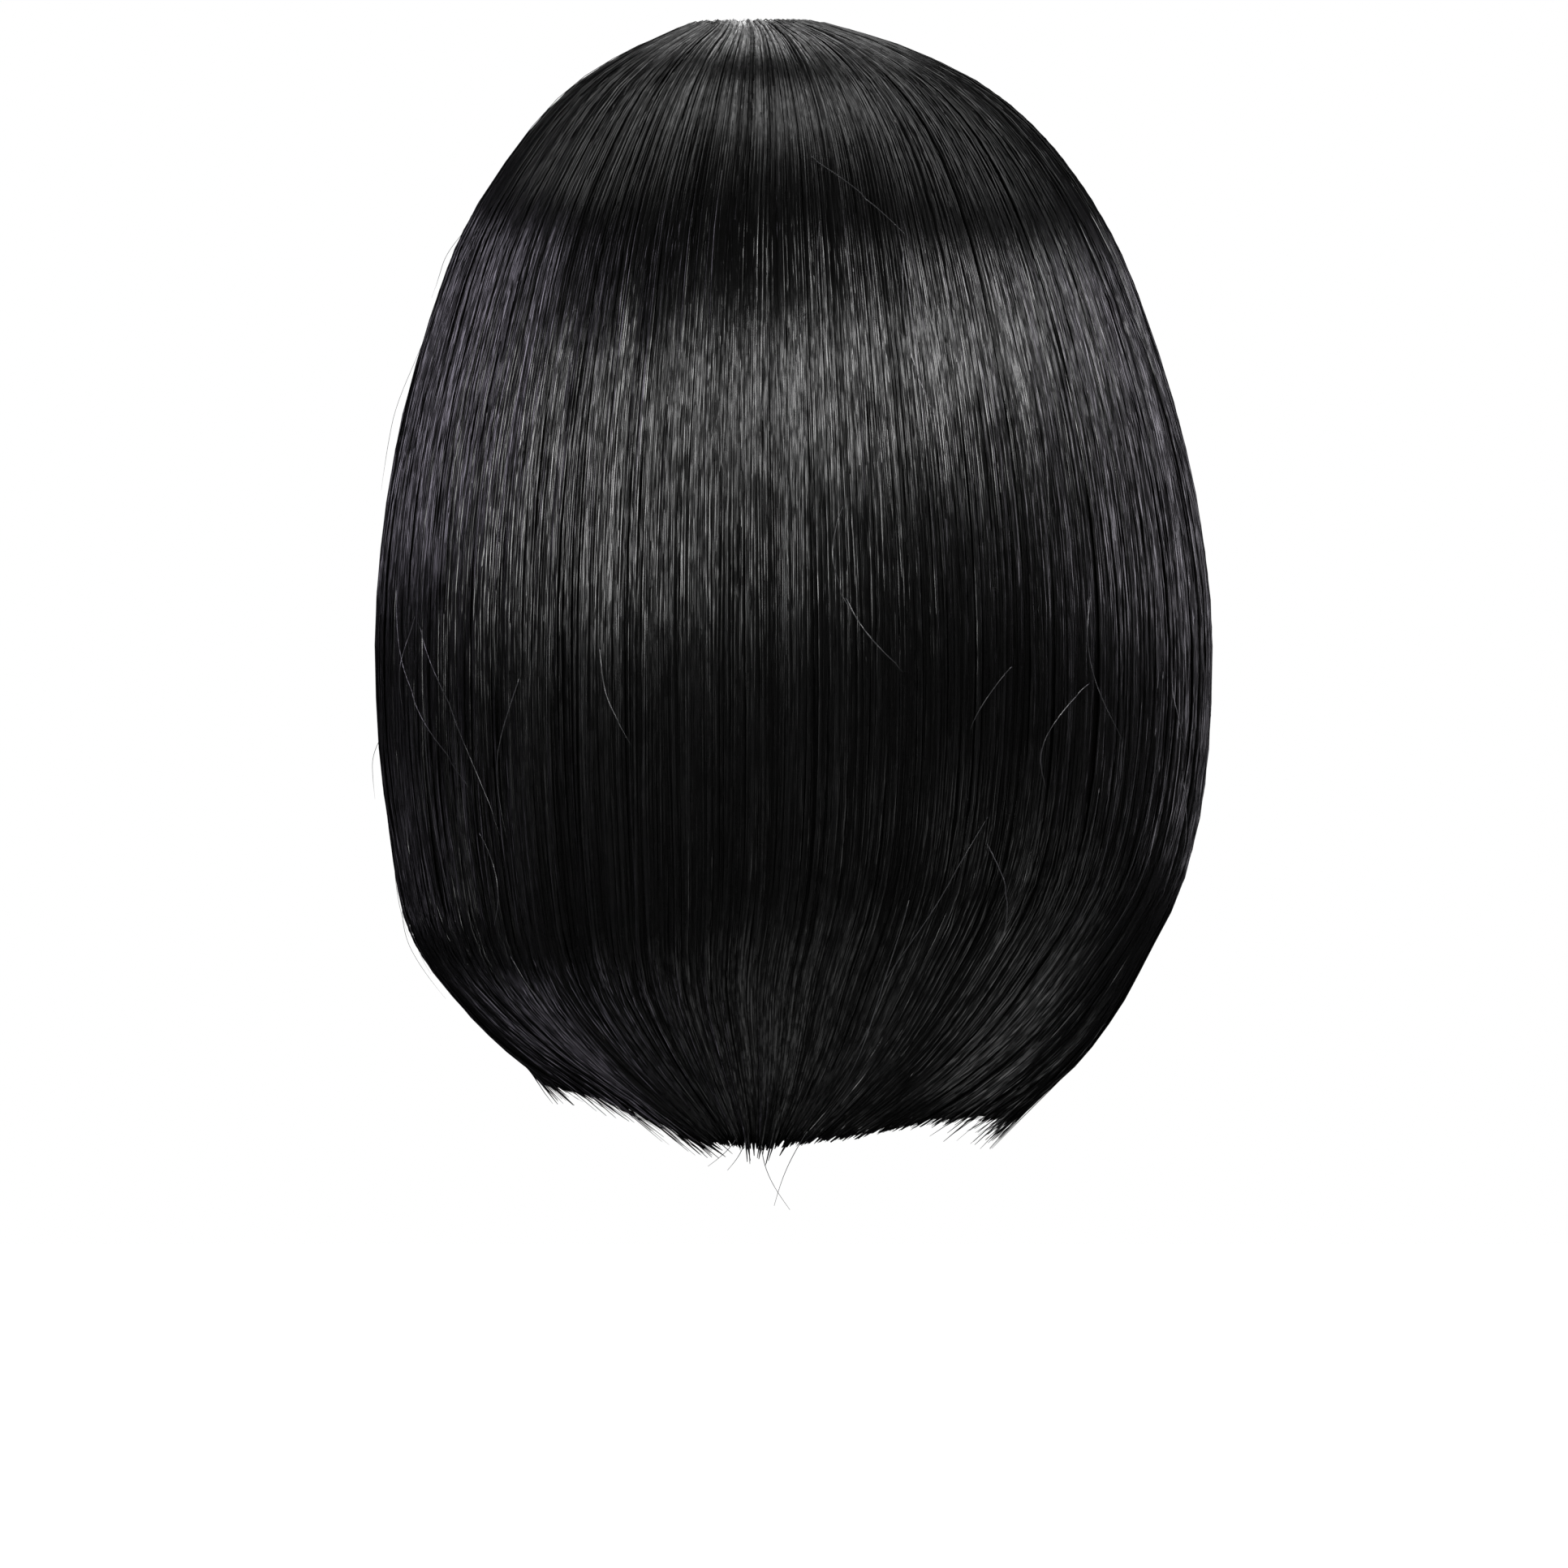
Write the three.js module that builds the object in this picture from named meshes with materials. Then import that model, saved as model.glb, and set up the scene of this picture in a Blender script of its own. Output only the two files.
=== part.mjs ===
// A chin-length bob wig with a full fringe, shown in the shape that it has when worn.
// Millimetres, +Z up. The face opening looks along -Y and the wearer's left is +X.
// The origin is the inner top of the cap, where the crown of the head meets it.
// Azimuths are in degrees round the head: 0 is the nape, +90 the wearer's left, 180 the face.
import * as THREE from "three";

// Driving sizes, in millimetres.
const headBreadth = 152;
const headLength = 193;
const headCrownHeight = 85; // from the top of the head down to its widest level
const headRoundness = 2.2; // exponent of the dome's superellipse
const headTuck = 0.16; // share that the head narrows by at the nape rim of the cap

const capWall = 1.2;
const bandWidth = 10;
const bandThickness = 1.2;
const napeRimDrop = 146; // from the top of the head to the cap's lowest edge
const patchRadius = 11.5;
const patchThickness = 1;
const whorl = new THREE.Vector2(11, 14); // where the hair parts all round, off the head's middle

const crownLift = 10; // top of the hair above the top of the head
const sideVolume = 33; // how far the hair stands off each side of the head at its widest
const backVolume = 20;
const frontVolume = 13;
const hairDrop = 294; // from the top of the hair to the longest point at the nape
const fringeDrop = 104; // from the top of the hair to the middle of the fringe
const fringeEdgeDrop = 6; // how much lower the fringe ends beside the temples

const hairWall = 7.5;
const underWall = 4;
const underRootWall = 2.4;
const underRootDrop = 76; // from the top of the head to the line where the under hair is sewn on
const underShortfall = 30; // how much shorter the under hair is than the outer hair
const lockLift = 1.6; // from the valley between two locks to the back of a lock
const lockNotch = 7; // how far the valleys stop short of the tips
const notchPower = 8; // how suddenly the valleys rise towards the hem

const seatGap = 0.35; // between pieces that rest on each other
const layerGap = 2.2; // between the outer hair and the under hair
const sideGap = 0.3; // between neighbouring pieces of hair

const halfBreadth = headBreadth / 2;
const halfLength = headLength / 2;
const hairHalfWidth = halfBreadth + sideVolume;
const hairBackDepth = halfLength + backVolume;
const hairFrontDepth = halfLength + frontVolume;

// Level sections of the hair from the whorl down to the hem. The lengths are shares: drop of
// hairDrop, side of hairHalfWidth, back of hairBackDepth, front of hairFrontDepth, wall of
// hairWall, shift of the whorl's offset for how far the section is off the middle, and head of
// headCrownHeight for the height on the head that the section lies over.
const SECTIONS = [
  { drop: 0.0158, side: 0.055, back: 0.051, front: 0.055, wall: 1.0, shift: 1.0, head: 0.0018 },
  { drop: 0.0014, side: 0.133, back: 0.146, front: 0.15, wall: 1.8, shift: 0.92, head: 0.0106 },
  { drop: 0.0129, side: 0.242, back: 0.28, front: 0.29, wall: 1.8, shift: 0.66, head: 0.0424 },
  { drop: 0.034, side: 0.374, back: 0.434, front: 0.45, wall: 1.8, shift: 0.48, head: 0.106 },
  { drop: 0.0673, side: 0.518, back: 0.594, front: 0.62, wall: 1.8, shift: 0.32, head: 0.212 },
  { drop: 0.1187, side: 0.65, back: 0.742, front: 0.78, wall: 1.6, shift: 0.2, head: 0.371 },
  { drop: 0.1905, side: 0.774, back: 0.866, front: 0.9, wall: 1.35, shift: 0.17, head: 0.592 },
  { drop: 0.2755, side: 0.862, back: 0.946, front: 0.97, wall: 1.15, shift: 0.12, head: 0.854 },
  { drop: 0.3912, side: 0.946, back: 0.994, front: 1.0, wall: 1.0, shift: 0.06, head: 1.235 },
  { drop: 0.5218, side: 0.992, back: 1.0, front: 1.0, wall: 1.0, shift: 0, head: 1.69 },
  { drop: 0.6535, side: 0.989, back: 0.955, front: 0.975, wall: 1.0, shift: 0, head: 2.14 },
  { drop: 0.7687, side: 0.945, back: 0.886, front: 0.93, wall: 0.95, shift: 0.1, head: 2.54 },
  { drop: 0.8539, side: 0.868, back: 0.785, front: 0.915, wall: 0.85, shift: 0.38, head: 2.83 },
  { drop: 0.9209, side: 0.76, back: 0.736, front: 0.84, wall: 0.75, shift: 0.33, head: 3.06 },
  { drop: 0.9696, side: 0.643, back: 0.698, front: 0.745, wall: 0.6, shift: 0.3, head: 3.23 },
  { drop: 1.0, side: 0.54, back: 0.66, front: 0.67, wall: 0.4, shift: 0.36, head: 3.34 },
];
const lastFixedRow = 8; // below it the sections stretch to reach each strand's own hem
const lastDomeRow = 6; // down to it the head's height follows from the dome's formula
const lastPatchRow = 1; // down to it the hair leaves room for the patch
const fullLockRow = 5; // the locks rise from nothing at the whorl to their full size here

// Where each strand of the sides and back ends, as a share of hairDrop.
const HEM = [
  { azimuth: -145, drop: 0.912 },
  { azimuth: -120, drop: 0.946 },
  { azimuth: -95, drop: 0.974 },
  { azimuth: -70, drop: 0.973 },
  { azimuth: -45, drop: 0.986 },
  { azimuth: -15, drop: 0.991 },
  { azimuth: 0, drop: 0.993 },
  { azimuth: 15, drop: 0.992 },
  { azimuth: 45, drop: 0.987 },
  { azimuth: 70, drop: 0.956 },
  { azimuth: 95, drop: 0.936 },
  { azimuth: 120, drop: 0.915 },
  { azimuth: 145, drop: 0.89 },
];

// The lower edge of the cap, as a share of napeRimDrop, alike on both sides.
const CAP_RIM = [
  { azimuth: 0, drop: 1.0 },
  { azimuth: 36, drop: 0.97 },
  { azimuth: 63, drop: 0.82 },
  { azimuth: 81, drop: 0.69 },
  { azimuth: 99, drop: 0.75 },
  { azimuth: 117, drop: 0.76 },
  { azimuth: 135, drop: 0.57 },
  { azimuth: 162, drop: 0.45 },
  { azimuth: 180, drop: 0.43 },
];

// The strands run in towards the nape at their ends, and the face opening widens.
const faceEdgeAzimuth = 145;
const faceEdgeAzimuthAtHem = 128;
const gatherKept = 0.25; // share of its azimuth that a strand near the middle keeps at the hem
const gatherPower = 3.2;
const gatherStart = 0.3; // share of the free fall where the strands begin to turn
const gatherSkew = 0.08; // how much later those on the wearer's left begin
const gatherEase = 4.6; // how suddenly the turn comes at the end
const napeDrift = 4; // degrees that the middle strands end to the wearer's left

const OUTER_PIECES = [
  { name: "nape_hair", from: -24, to: 24, locks: 5 },
  { name: "left_back_hair", from: 24, to: 84, locks: 6 },
  { name: "right_back_hair", from: -84, to: -24, locks: 6 },
  { name: "left_side_hair", from: 84, to: faceEdgeAzimuth, locks: 5 },
  { name: "right_side_hair", from: -faceEdgeAzimuth, to: -84, locks: 5 },
];
const FRINGE = { name: "fringe", from: faceEdgeAzimuth, to: 360 - faceEdgeAzimuth, locks: 7 };
const UNDER_PIECES = [
  { name: "under_nape_hair", from: -62, to: 62, locks: 7 },
  { name: "under_left_hair", from: 63, to: 124, locks: 4 },
  { name: "under_right_hair", from: -124, to: -63, locks: 4 },
];
const columnsPerLock = 4;
const columnsPerUnderLock = 2;
const ringColumns = 36; // round the cap, its band and its patch
const capStepsToBand = 3;
const bandSteps = 2;
const patchSteps = 2;
const lastFringeRow = 6;
const fringeStepsToHem = 3;
const fringeHemWall = 0.45; // share of the wall that is left at the fringe's cut
const firstUnderRow = 8;
const lastUnderRow = 14;

const hairMaterial = () =>
  new THREE.MeshStandardMaterial({ color: 0x0d0d10, roughness: 0.38, metalness: 0 });
const netMaterial = () =>
  new THREE.MeshStandardMaterial({ color: 0x17171a, roughness: 0.8, metalness: 0 });
const bandMaterial = () =>
  new THREE.MeshStandardMaterial({ color: 0x101013, roughness: 0.7, metalness: 0 });
const patchMaterial = () =>
  new THREE.MeshStandardMaterial({ color: 0xc9a68f, roughness: 0.75, metalness: 0 });

// Smooth interpolation between the rows of SECTIONS, at a row number that need not be whole.
const sectionKeys = Object.keys(SECTIONS[0]);
const sectionCurve = new THREE.CubicInterpolant(
  SECTIONS.map((section, row) => row),
  SECTIONS.flatMap((section) => Object.values(section)),
  sectionKeys.length,
);
function sectionAt(row) {
  const found = Array.from(sectionCurve.evaluate(row));
  return Object.fromEntries(sectionKeys.map((key, index) => [key, found[index]]));
}

// Straight interpolation of drop between the azimuths of a table.
function dropAt(table, azimuth) {
  const next = Math.max(1, table.findIndex((row) => row.azimuth >= azimuth));
  const [low, high] = [table[next - 1], table[next]];
  const share = (azimuth - low.azimuth) / (high.azimuth - low.azimuth);
  return THREE.MathUtils.lerp(low.drop, high.drop, share);
}

// A point of a level oval whose back and front halves have their own depths.
function ovalPoint(centre, side, back, front, azimuth, height) {
  const angle = THREE.MathUtils.degToRad(azimuth);
  const depth = Math.cos(angle) > 0 ? back : front;
  const x = centre.x + side * Math.sin(angle);
  return new THREE.Vector3(x, centre.y + depth * Math.cos(angle), height);
}

// Share of the head's half-sizes that it reaches, drop millimetres below its top.
function headShare(drop) {
  const above = 1 - drop / headCrownHeight;
  if (above >= 0) return (1 - above ** headRoundness) ** (1 / headRoundness);
  const below = (drop - headCrownHeight) / (napeRimDrop - headCrownHeight);
  return 1 - headTuck * below ** 2;
}

// Height of the dome of the head over a point of the plan.
function domeHeight(x, y) {
  const share = Math.hypot(x / halfBreadth, y / halfLength);
  return headCrownHeight * ((1 - share ** headRoundness) ** (1 / headRoundness) - 1);
}

// A point of the head under the hair's section of that row.
function headPoint(row, azimuth) {
  const { head, shift } = sectionAt(row);
  const drop = head * headCrownHeight;
  const share = headShare(drop);
  const centre = whorl.clone().multiplyScalar(shift);
  const length = halfLength * share;
  const point = ovalPoint(centre, halfBreadth * share, length, length, azimuth, -drop);
  if (row <= lastDomeRow) point.z = domeHeight(point.x, point.y);
  return point;
}

// A point of the head at a drop below its top, clear of the crown.
function headPointAtDrop(drop, azimuth) {
  const share = headShare(drop);
  const length = halfLength * share;
  const away = THREE.MathUtils.clamp((drop / headCrownHeight - 0.592) / 0.4, 0, 1);
  const centre = whorl.clone().multiplyScalar(sectionAt(lastDomeRow).shift * (1 - away));
  return ovalPoint(centre, halfBreadth * share, length, length, azimuth, -drop);
}

// The point a distance out from the head, square to its surface.
function offHead(point, distance) {
  const share = Math.hypot(point.x / halfBreadth, point.y / halfLength);
  const above = 1 + point.z / headCrownHeight;
  const outwards = new THREE.Vector3(point.x / halfBreadth ** 2, point.y / halfLength ** 2, 0);
  if (above > 0) {
    outwards.multiplyScalar(share ** (headRoundness - 2));
    outwards.z = above ** (headRoundness - 1) / headCrownHeight;
  } else {
    const tuckHeight = napeRimDrop - headCrownHeight;
    outwards.z = (2 * headTuck * above * headCrownHeight) / tuckHeight ** 2;
  }
  return point.clone().addScaledVector(outwards.normalize(), distance);
}

// How far down its free fall a row is, from 0 at the last fixed row to 1 at the hem.
function fallShare(row) {
  const from = SECTIONS[lastFixedRow].drop;
  return Math.max(0, (sectionAt(row).drop - from) / (1 - from));
}

// The azimuth of a strand at a row: it turns in towards the nape as it nears the hem.
function strandAzimuth(azimuth, row) {
  const start = gatherStart + gatherSkew * Math.sin(THREE.MathUtils.degToRad(azimuth));
  const turn = Math.max(0, (fallShare(row) - start) / (1 - start)) ** gatherEase;
  const side = Math.abs(azimuth);
  if (side > faceEdgeAzimuth || turn === 0) return azimuth;
  let end = azimuth * (gatherKept + (1 - gatherKept) * (side / 90) ** gatherPower);
  if (side > 90) {
    const share = (side - 90) / (faceEdgeAzimuth - 90);
    end = Math.sign(azimuth) * THREE.MathUtils.lerp(90, faceEdgeAzimuthAtHem, share);
  } else {
    end += napeDrift * Math.cos(THREE.MathUtils.degToRad(azimuth)) ** 2;
  }
  return THREE.MathUtils.lerp(azimuth, end, turn);
}

// A point of the smooth outer form of the hair. hem is how far down the hair ends there, and
// notch is how far the strand stops short of it.
function outerPoint(azimuth, row, hem, notch = 0) {
  const section = sectionAt(row);
  const fixedDrop = SECTIONS[lastFixedRow].drop * hairDrop;
  const fall = fallShare(row);
  const fallen = THREE.MathUtils.lerp(fixedDrop, hem, fall) - notch * fall ** notchPower;
  const drop = fall > 0 ? fallen : section.drop * hairDrop;
  return ovalPoint(
    whorl.clone().multiplyScalar(section.shift),
    section.side * hairHalfWidth,
    section.back * hairBackDepth,
    section.front * hairFrontDepth,
    strandAzimuth(azimuth, row),
    crownLift - drop,
  );
}

// The way from a point of the outer form in to the head or, below it, to its axis.
function wayIn(azimuth, row, outer) {
  let target = headPoint(Math.min(row, lastFixedRow), strandAzimuth(azimuth, row));
  if (row >= lastFixedRow) {
    target.multiplyScalar(0.5);
    target.z = outer.z;
  }
  return target.sub(outer);
}

// A steady number from -1 to 1 that differs from lock to lock.
const wobble = (number) => Math.sin(7.3 * number + 1.1);

// The columns of a piece, each with its azimuth and its place across its lock: rise is 0 in a
// valley and 1 on the back of the lock, and size is how big the lock is.
function lockColumns(piece, perLock) {
  const columns = [];
  const edge = (number) =>
    number > 0 && number < piece.locks ? number + 0.2 * wobble(number + piece.from) : number;
  for (let index = 0; index <= piece.locks * perLock; index++) {
    const lock = Math.floor(index / perLock);
    const across = (index % perLock) / perLock;
    const place = across > 0 ? THREE.MathUtils.lerp(edge(lock), edge(lock + 1), across) : edge(lock);
    columns.push({
      azimuth: THREE.MathUtils.lerp(piece.from, piece.to, place / piece.locks),
      rise: Math.sin(Math.PI * across) ** 0.8,
      size: across > 0 ? 1 + 0.3 * wobble(3 * lock + piece.to) : 1,
    });
  }
  return columns;
}

// Moves the first and last columns of a piece inwards, so that it clears its neighbours.
function leaveSideGap(grid) {
  for (const points of grid) {
    const last = points.length - 1;
    for (const [edge, inner] of [[0, 1], [last, last - 1]]) {
      const inwards = points[inner].clone().sub(points[edge]).setLength(sideGap / 2);
      points[edge].add(inwards);
    }
  }
}

// A closed solid between two grids of points, each an array of rows from the top down. The
// columns run round a ring, or from one free edge to the other.
function shellGeometry(outer, inner, isRing) {
  const [rowCount, width] = [outer.length, outer[0].length];
  const points = [...outer.flat(), ...inner.flat()];
  const faces = [];
  const addTriangle = (...corners) => {
    const [p, q, r] = corners.map((corner) => points[corner]);
    if (!p.equals(q) && !q.equals(r) && !r.equals(p)) faces.push(...corners);
  };
  const addQuad = (a, b, c, d) => {
    addTriangle(a, b, c);
    addTriangle(a, c, d);
  };
  const at = (layer, row, column) => (layer * rowCount + row) * width + (column % width);
  const bottom = rowCount - 1;
  for (let column = 0; column < (isRing ? width : width - 1); column++) {
    const next = column + 1;
    for (let row = 0; row < bottom; row++) {
      const below = row + 1;
      addQuad(at(0, row, column), at(0, row, next), at(0, below, next), at(0, below, column));
      addQuad(at(1, row, next), at(1, row, column), at(1, below, column), at(1, below, next));
    }
    addQuad(at(0, 0, next), at(0, 0, column), at(1, 0, column), at(1, 0, next));
    addQuad(at(0, bottom, column), at(0, bottom, next), at(1, bottom, next), at(1, bottom, column));
  }
  const end = width - 1;
  for (let row = 0; row < bottom && !isRing; row++) {
    const below = row + 1;
    addQuad(at(0, row, 0), at(0, below, 0), at(1, below, 0), at(1, row, 0));
    addQuad(at(0, row, end), at(1, row, end), at(1, below, end), at(0, below, end));
  }
  const geometry = new THREE.BufferGeometry();
  const coordinates = points.flatMap((point) => point.toArray());
  geometry.setAttribute("position", new THREE.Float32BufferAttribute(coordinates, 3));
  geometry.setIndex(faces);
  geometry.computeVertexNormals();
  return geometry;
}

// A ring-shaped or domed shell: stations are rows of points on the head, set off it by two
// distances.
function headShell(stations, innerDistance, outerDistance) {
  const setOff = (distance) =>
    stations.map((points) => points.map((point) => offHead(point, distance)));
  return shellGeometry(setOff(outerDistance), setOff(innerDistance), true);
}

// Room that the inner face of the hair leaves over the head.
function roomOverHead(row) {
  const room = capWall + 2 * seatGap;
  if (row <= lastPatchRow) return room + patchThickness;
  return row >= lastDomeRow ? room + seatGap + bandThickness : room;
}

// The pair of points of a hair piece where a column crosses a row: on the outer face of the
// lock, and on the inner face of the wall behind it.
function hairPair(column, row, hem, notch, thinning) {
  const point = outerPoint(column.azimuth, row, hem, notch);
  const way = wayIn(column.azimuth, row, point);
  const free = row < lastFixedRow ? way.length() - roomOverHead(row) : Infinity;
  const section = sectionAt(row);
  const depth = Math.min(section.wall * hairWall * thinning, free);
  const inwards = way.normalize();
  const growth = THREE.MathUtils.smoothstep(row, 1, fullLockRow);
  const thickness = Math.min(1, 2 * section.wall * thinning);
  const lift = lockLift * column.size * (column.rise - 0.5) * growth * thickness;
  return [
    point.clone().addScaledVector(inwards, -lift),
    point.clone().addScaledVector(inwards, depth),
  ];
}

// Builds a strip of hair from the pairs of points of its rows and columns.
function hairStrip(rowPairs) {
  const outer = rowPairs.map((pairs) => pairs.map((pair) => pair[0]));
  const inner = rowPairs.map((pairs) => pairs.map((pair) => pair[1]));
  leaveSideGap(outer);
  leaveSideGap(inner);
  return shellGeometry(outer, inner, false);
}

// Hair of the back and sides, from the whorl to the hem.
function outerHair(piece) {
  const columns = lockColumns(piece, columnsPerLock);
  const pairsOf = (section, row) =>
    columns.map((column) => {
      const notch = lockNotch * column.size * (1 - column.rise);
      return hairPair(column, row, dropAt(HEM, column.azimuth) * hairDrop, notch, 1);
    });
  return hairStrip(SECTIONS.map(pairsOf));
}

// The row number, between whole rows, where the hair is a given drop below its top.
function rowAtDrop(drop) {
  let [low, high] = [lastPatchRow, SECTIONS.length - 1];
  for (let step = 0; step < 24; step++) {
    const middle = (low + high) / 2;
    if (sectionAt(middle).drop * hairDrop < drop) low = middle;
    else high = middle;
  }
  return low;
}

// The fringe is cut off across the brow, a little lower towards the temples.
function fringeHair() {
  const columns = lockColumns(FRINGE, columnsPerLock);
  const halfSpan = (FRINGE.to - FRINGE.from) / 2;
  const rowPairs = [];
  for (let index = 0; index <= lastFringeRow + fringeStepsToHem; index++) {
    const share = Math.max(0, index - lastFringeRow) / fringeStepsToHem;
    const pairs = columns.map((column) => {
      const aside = (column.azimuth - 180) / halfSpan;
      const notch = (lockNotch / 2) * column.size * (1 - column.rise);
      const hemRow = rowAtDrop(fringeDrop + fringeEdgeDrop * aside ** 2 - notch);
      const row = THREE.MathUtils.lerp(Math.min(index, lastFringeRow), hemRow, share);
      const thinning = THREE.MathUtils.lerp(1, fringeHemWall, share);
      return hairPair(column, row, hairDrop, 0, thinning);
    });
    rowPairs.push(pairs);
  }
  return hairStrip(rowPairs);
}

// The under hair is sewn to the cap below the crown and hangs behind the outer hair.
function underHair(piece) {
  const columns = lockColumns(piece, columnsPerUnderLock);
  const rootPairs = columns.map((column) => {
    const root = headPointAtDrop(underRootDrop, column.azimuth);
    const innerDistance = capWall + seatGap;
    return [offHead(root, innerDistance + underRootWall), offHead(root, innerDistance)];
  });
  const rowPairs = [rootPairs];
  for (let row = firstUnderRow; row <= lastUnderRow; row++) {
    const pairs = columns.map((column) => {
      const notch = lockNotch * column.size * (1 - column.rise);
      const hem = dropAt(HEM, column.azimuth) * hairDrop - underShortfall;
      const outerRow = rowUnder(row, hem, column.azimuth);
      const point = outerPoint(column.azimuth, outerRow, hem + underShortfall);
      const inwards = wayIn(column.azimuth, outerRow, point).normalize();
      const wall = sectionAt(outerRow).wall * hairWall;
      const outer = point.clone().addScaledVector(inwards, wall + layerGap);
      const inner = outer.clone().addScaledVector(inwards, underWall);
      const fall = (row - firstUnderRow) / (lastUnderRow - firstUnderRow);
      outer.z += notch * fall;
      inner.z += notch * fall;
      return [outer, inner];
    });
    rowPairs.push(pairs);
  }
  return hairStrip(rowPairs);
}

// The row of the outer hair that a row of the under hair lies behind, so that the under hair
// ends at its own hem.
function rowUnder(row, hem, azimuth) {
  const share = (row - firstUnderRow) / (lastUnderRow - firstUnderRow);
  const outerHem = dropAt(HEM, azimuth) * hairDrop;
  const fixedDrop = SECTIONS[lastFixedRow].drop * hairDrop;
  const fallAtEnd = (hem - fixedDrop) / (outerHem - fixedDrop);
  const wanted = SECTIONS[lastFixedRow].drop * (1 - fallAtEnd) + fallAtEnd;
  return THREE.MathUtils.lerp(lastFixedRow, rowAtDrop(wanted * hairDrop), share);
}

const ringAzimuths = Array.from({ length: ringColumns }, (_, index) => (360 * index) / ringColumns);

// How far below the top of the head the cap ends.
function rimDrop(azimuth) {
  const side = azimuth > 180 ? 360 - azimuth : azimuth;
  return dropAt(CAP_RIM, side) * napeRimDrop;
}

// The point of the head under the middle of the whorl.
const crownPoint = new THREE.Vector3(whorl.x, whorl.y, domeHeight(whorl.x, whorl.y));

// Rows of points along the rim of the cap, as wide as its band.
function rimStations() {
  const stations = [];
  for (let step = 0; step <= bandSteps; step++) {
    const rise = bandWidth * (1 - step / bandSteps);
    const pointAt = (azimuth) => headPointAtDrop(rimDrop(azimuth) - rise, azimuth);
    stations.push(ringAzimuths.map(pointAt));
  }
  return stations;
}

// The cap is a dome with a low nape, a tab before each ear and a high front edge.
function capShell() {
  const stations = [ringAzimuths.map(() => crownPoint.clone())];
  for (let row = 0; row <= lastDomeRow; row++) {
    stations.push(ringAzimuths.map((azimuth) => headPoint(row, azimuth)));
  }
  const lastDrop = SECTIONS[lastDomeRow].head * headCrownHeight;
  for (let step = 1; step < capStepsToBand; step++) {
    const share = step / capStepsToBand;
    const pointAt = (azimuth) => {
      const bandTop = rimDrop(azimuth) - bandWidth;
      return headPointAtDrop(THREE.MathUtils.lerp(lastDrop, bandTop, share), azimuth);
    };
    stations.push(ringAzimuths.map(pointAt));
  }
  return headShell([...stations, ...rimStations()], 0, capWall);
}

// The edge band follows the rim of the cap on its outside.
function edgeBand() {
  const innerDistance = capWall + seatGap;
  return headShell(rimStations(), innerDistance, innerDistance + bandThickness);
}

// The round patch of fine net in the whorl.
function crownPatch() {
  const stations = [];
  for (let step = 0; step <= patchSteps; step++) {
    const radius = (patchRadius * step) / patchSteps;
    const pointAt = (azimuth) => {
      const point = ovalPoint(whorl, radius, radius, radius, azimuth, 0);
      point.z = domeHeight(point.x, point.y);
      return step > 0 ? point : crownPoint.clone();
    };
    stations.push(ringAzimuths.map(pointAt));
  }
  const innerDistance = capWall + seatGap;
  return headShell(stations, innerDistance, innerDistance + patchThickness);
}

const wig = new THREE.Group();
wig.name = "bob_wig";
function addPiece(name, geometry, material) {
  const mesh = new THREE.Mesh(geometry, material);
  mesh.name = name;
  wig.add(mesh);
}

addPiece("cap", capShell(), netMaterial());
addPiece("cap_band", edgeBand(), bandMaterial());
addPiece("crown_patch", crownPatch(), patchMaterial());
for (const piece of UNDER_PIECES) addPiece(piece.name, underHair(piece), hairMaterial());
for (const piece of OUTER_PIECES) addPiece(piece.name, outerHair(piece), hairMaterial());
addPiece(FRINGE.name, fringeHair(), hairMaterial());

export default wig;
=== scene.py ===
"""Looks of a sleek black bob wig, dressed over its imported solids.

Metres, +Z up. The face opening looks along -Y and the wearer's left is +X. Azimuths are in
degrees round the head: 0 is the nape, +90 the wearer's left and 180 the face. A sheet of hair is
walked with two numbers: the azimuth where a strand leaves the whorl, and its travel, from 0 at the
whorl to 1 at the hem.
"""

from __future__ import annotations

import logging
import math
from collections.abc import Callable, Sequence
from dataclasses import dataclass, field
from enum import Enum, IntEnum
from functools import cache
from typing import ClassVar

import bmesh
import bpy
import numpy as np
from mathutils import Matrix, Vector

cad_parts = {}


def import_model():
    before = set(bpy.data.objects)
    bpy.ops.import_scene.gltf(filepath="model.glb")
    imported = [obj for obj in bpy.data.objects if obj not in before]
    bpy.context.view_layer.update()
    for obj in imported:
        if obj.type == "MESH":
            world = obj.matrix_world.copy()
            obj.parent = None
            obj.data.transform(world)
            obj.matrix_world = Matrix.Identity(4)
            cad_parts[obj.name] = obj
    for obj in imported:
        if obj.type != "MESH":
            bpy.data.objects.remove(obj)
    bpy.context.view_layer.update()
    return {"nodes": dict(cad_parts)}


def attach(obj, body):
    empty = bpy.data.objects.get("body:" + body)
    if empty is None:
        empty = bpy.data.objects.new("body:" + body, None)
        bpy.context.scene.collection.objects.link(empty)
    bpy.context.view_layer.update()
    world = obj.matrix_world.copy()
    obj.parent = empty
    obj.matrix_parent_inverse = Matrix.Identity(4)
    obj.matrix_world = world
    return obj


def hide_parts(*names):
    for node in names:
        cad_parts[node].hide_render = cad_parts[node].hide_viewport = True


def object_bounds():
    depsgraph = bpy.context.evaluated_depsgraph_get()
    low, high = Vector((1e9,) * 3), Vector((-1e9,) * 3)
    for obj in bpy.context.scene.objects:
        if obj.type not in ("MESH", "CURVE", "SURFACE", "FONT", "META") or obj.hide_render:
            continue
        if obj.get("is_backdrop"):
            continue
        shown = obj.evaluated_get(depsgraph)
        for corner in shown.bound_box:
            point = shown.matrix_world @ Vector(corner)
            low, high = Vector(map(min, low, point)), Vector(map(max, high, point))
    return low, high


LOG = logging.getLogger("bob_wig")
MM = 0.001
Array = np.ndarray
Colour = tuple[float, float, float]
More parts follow.
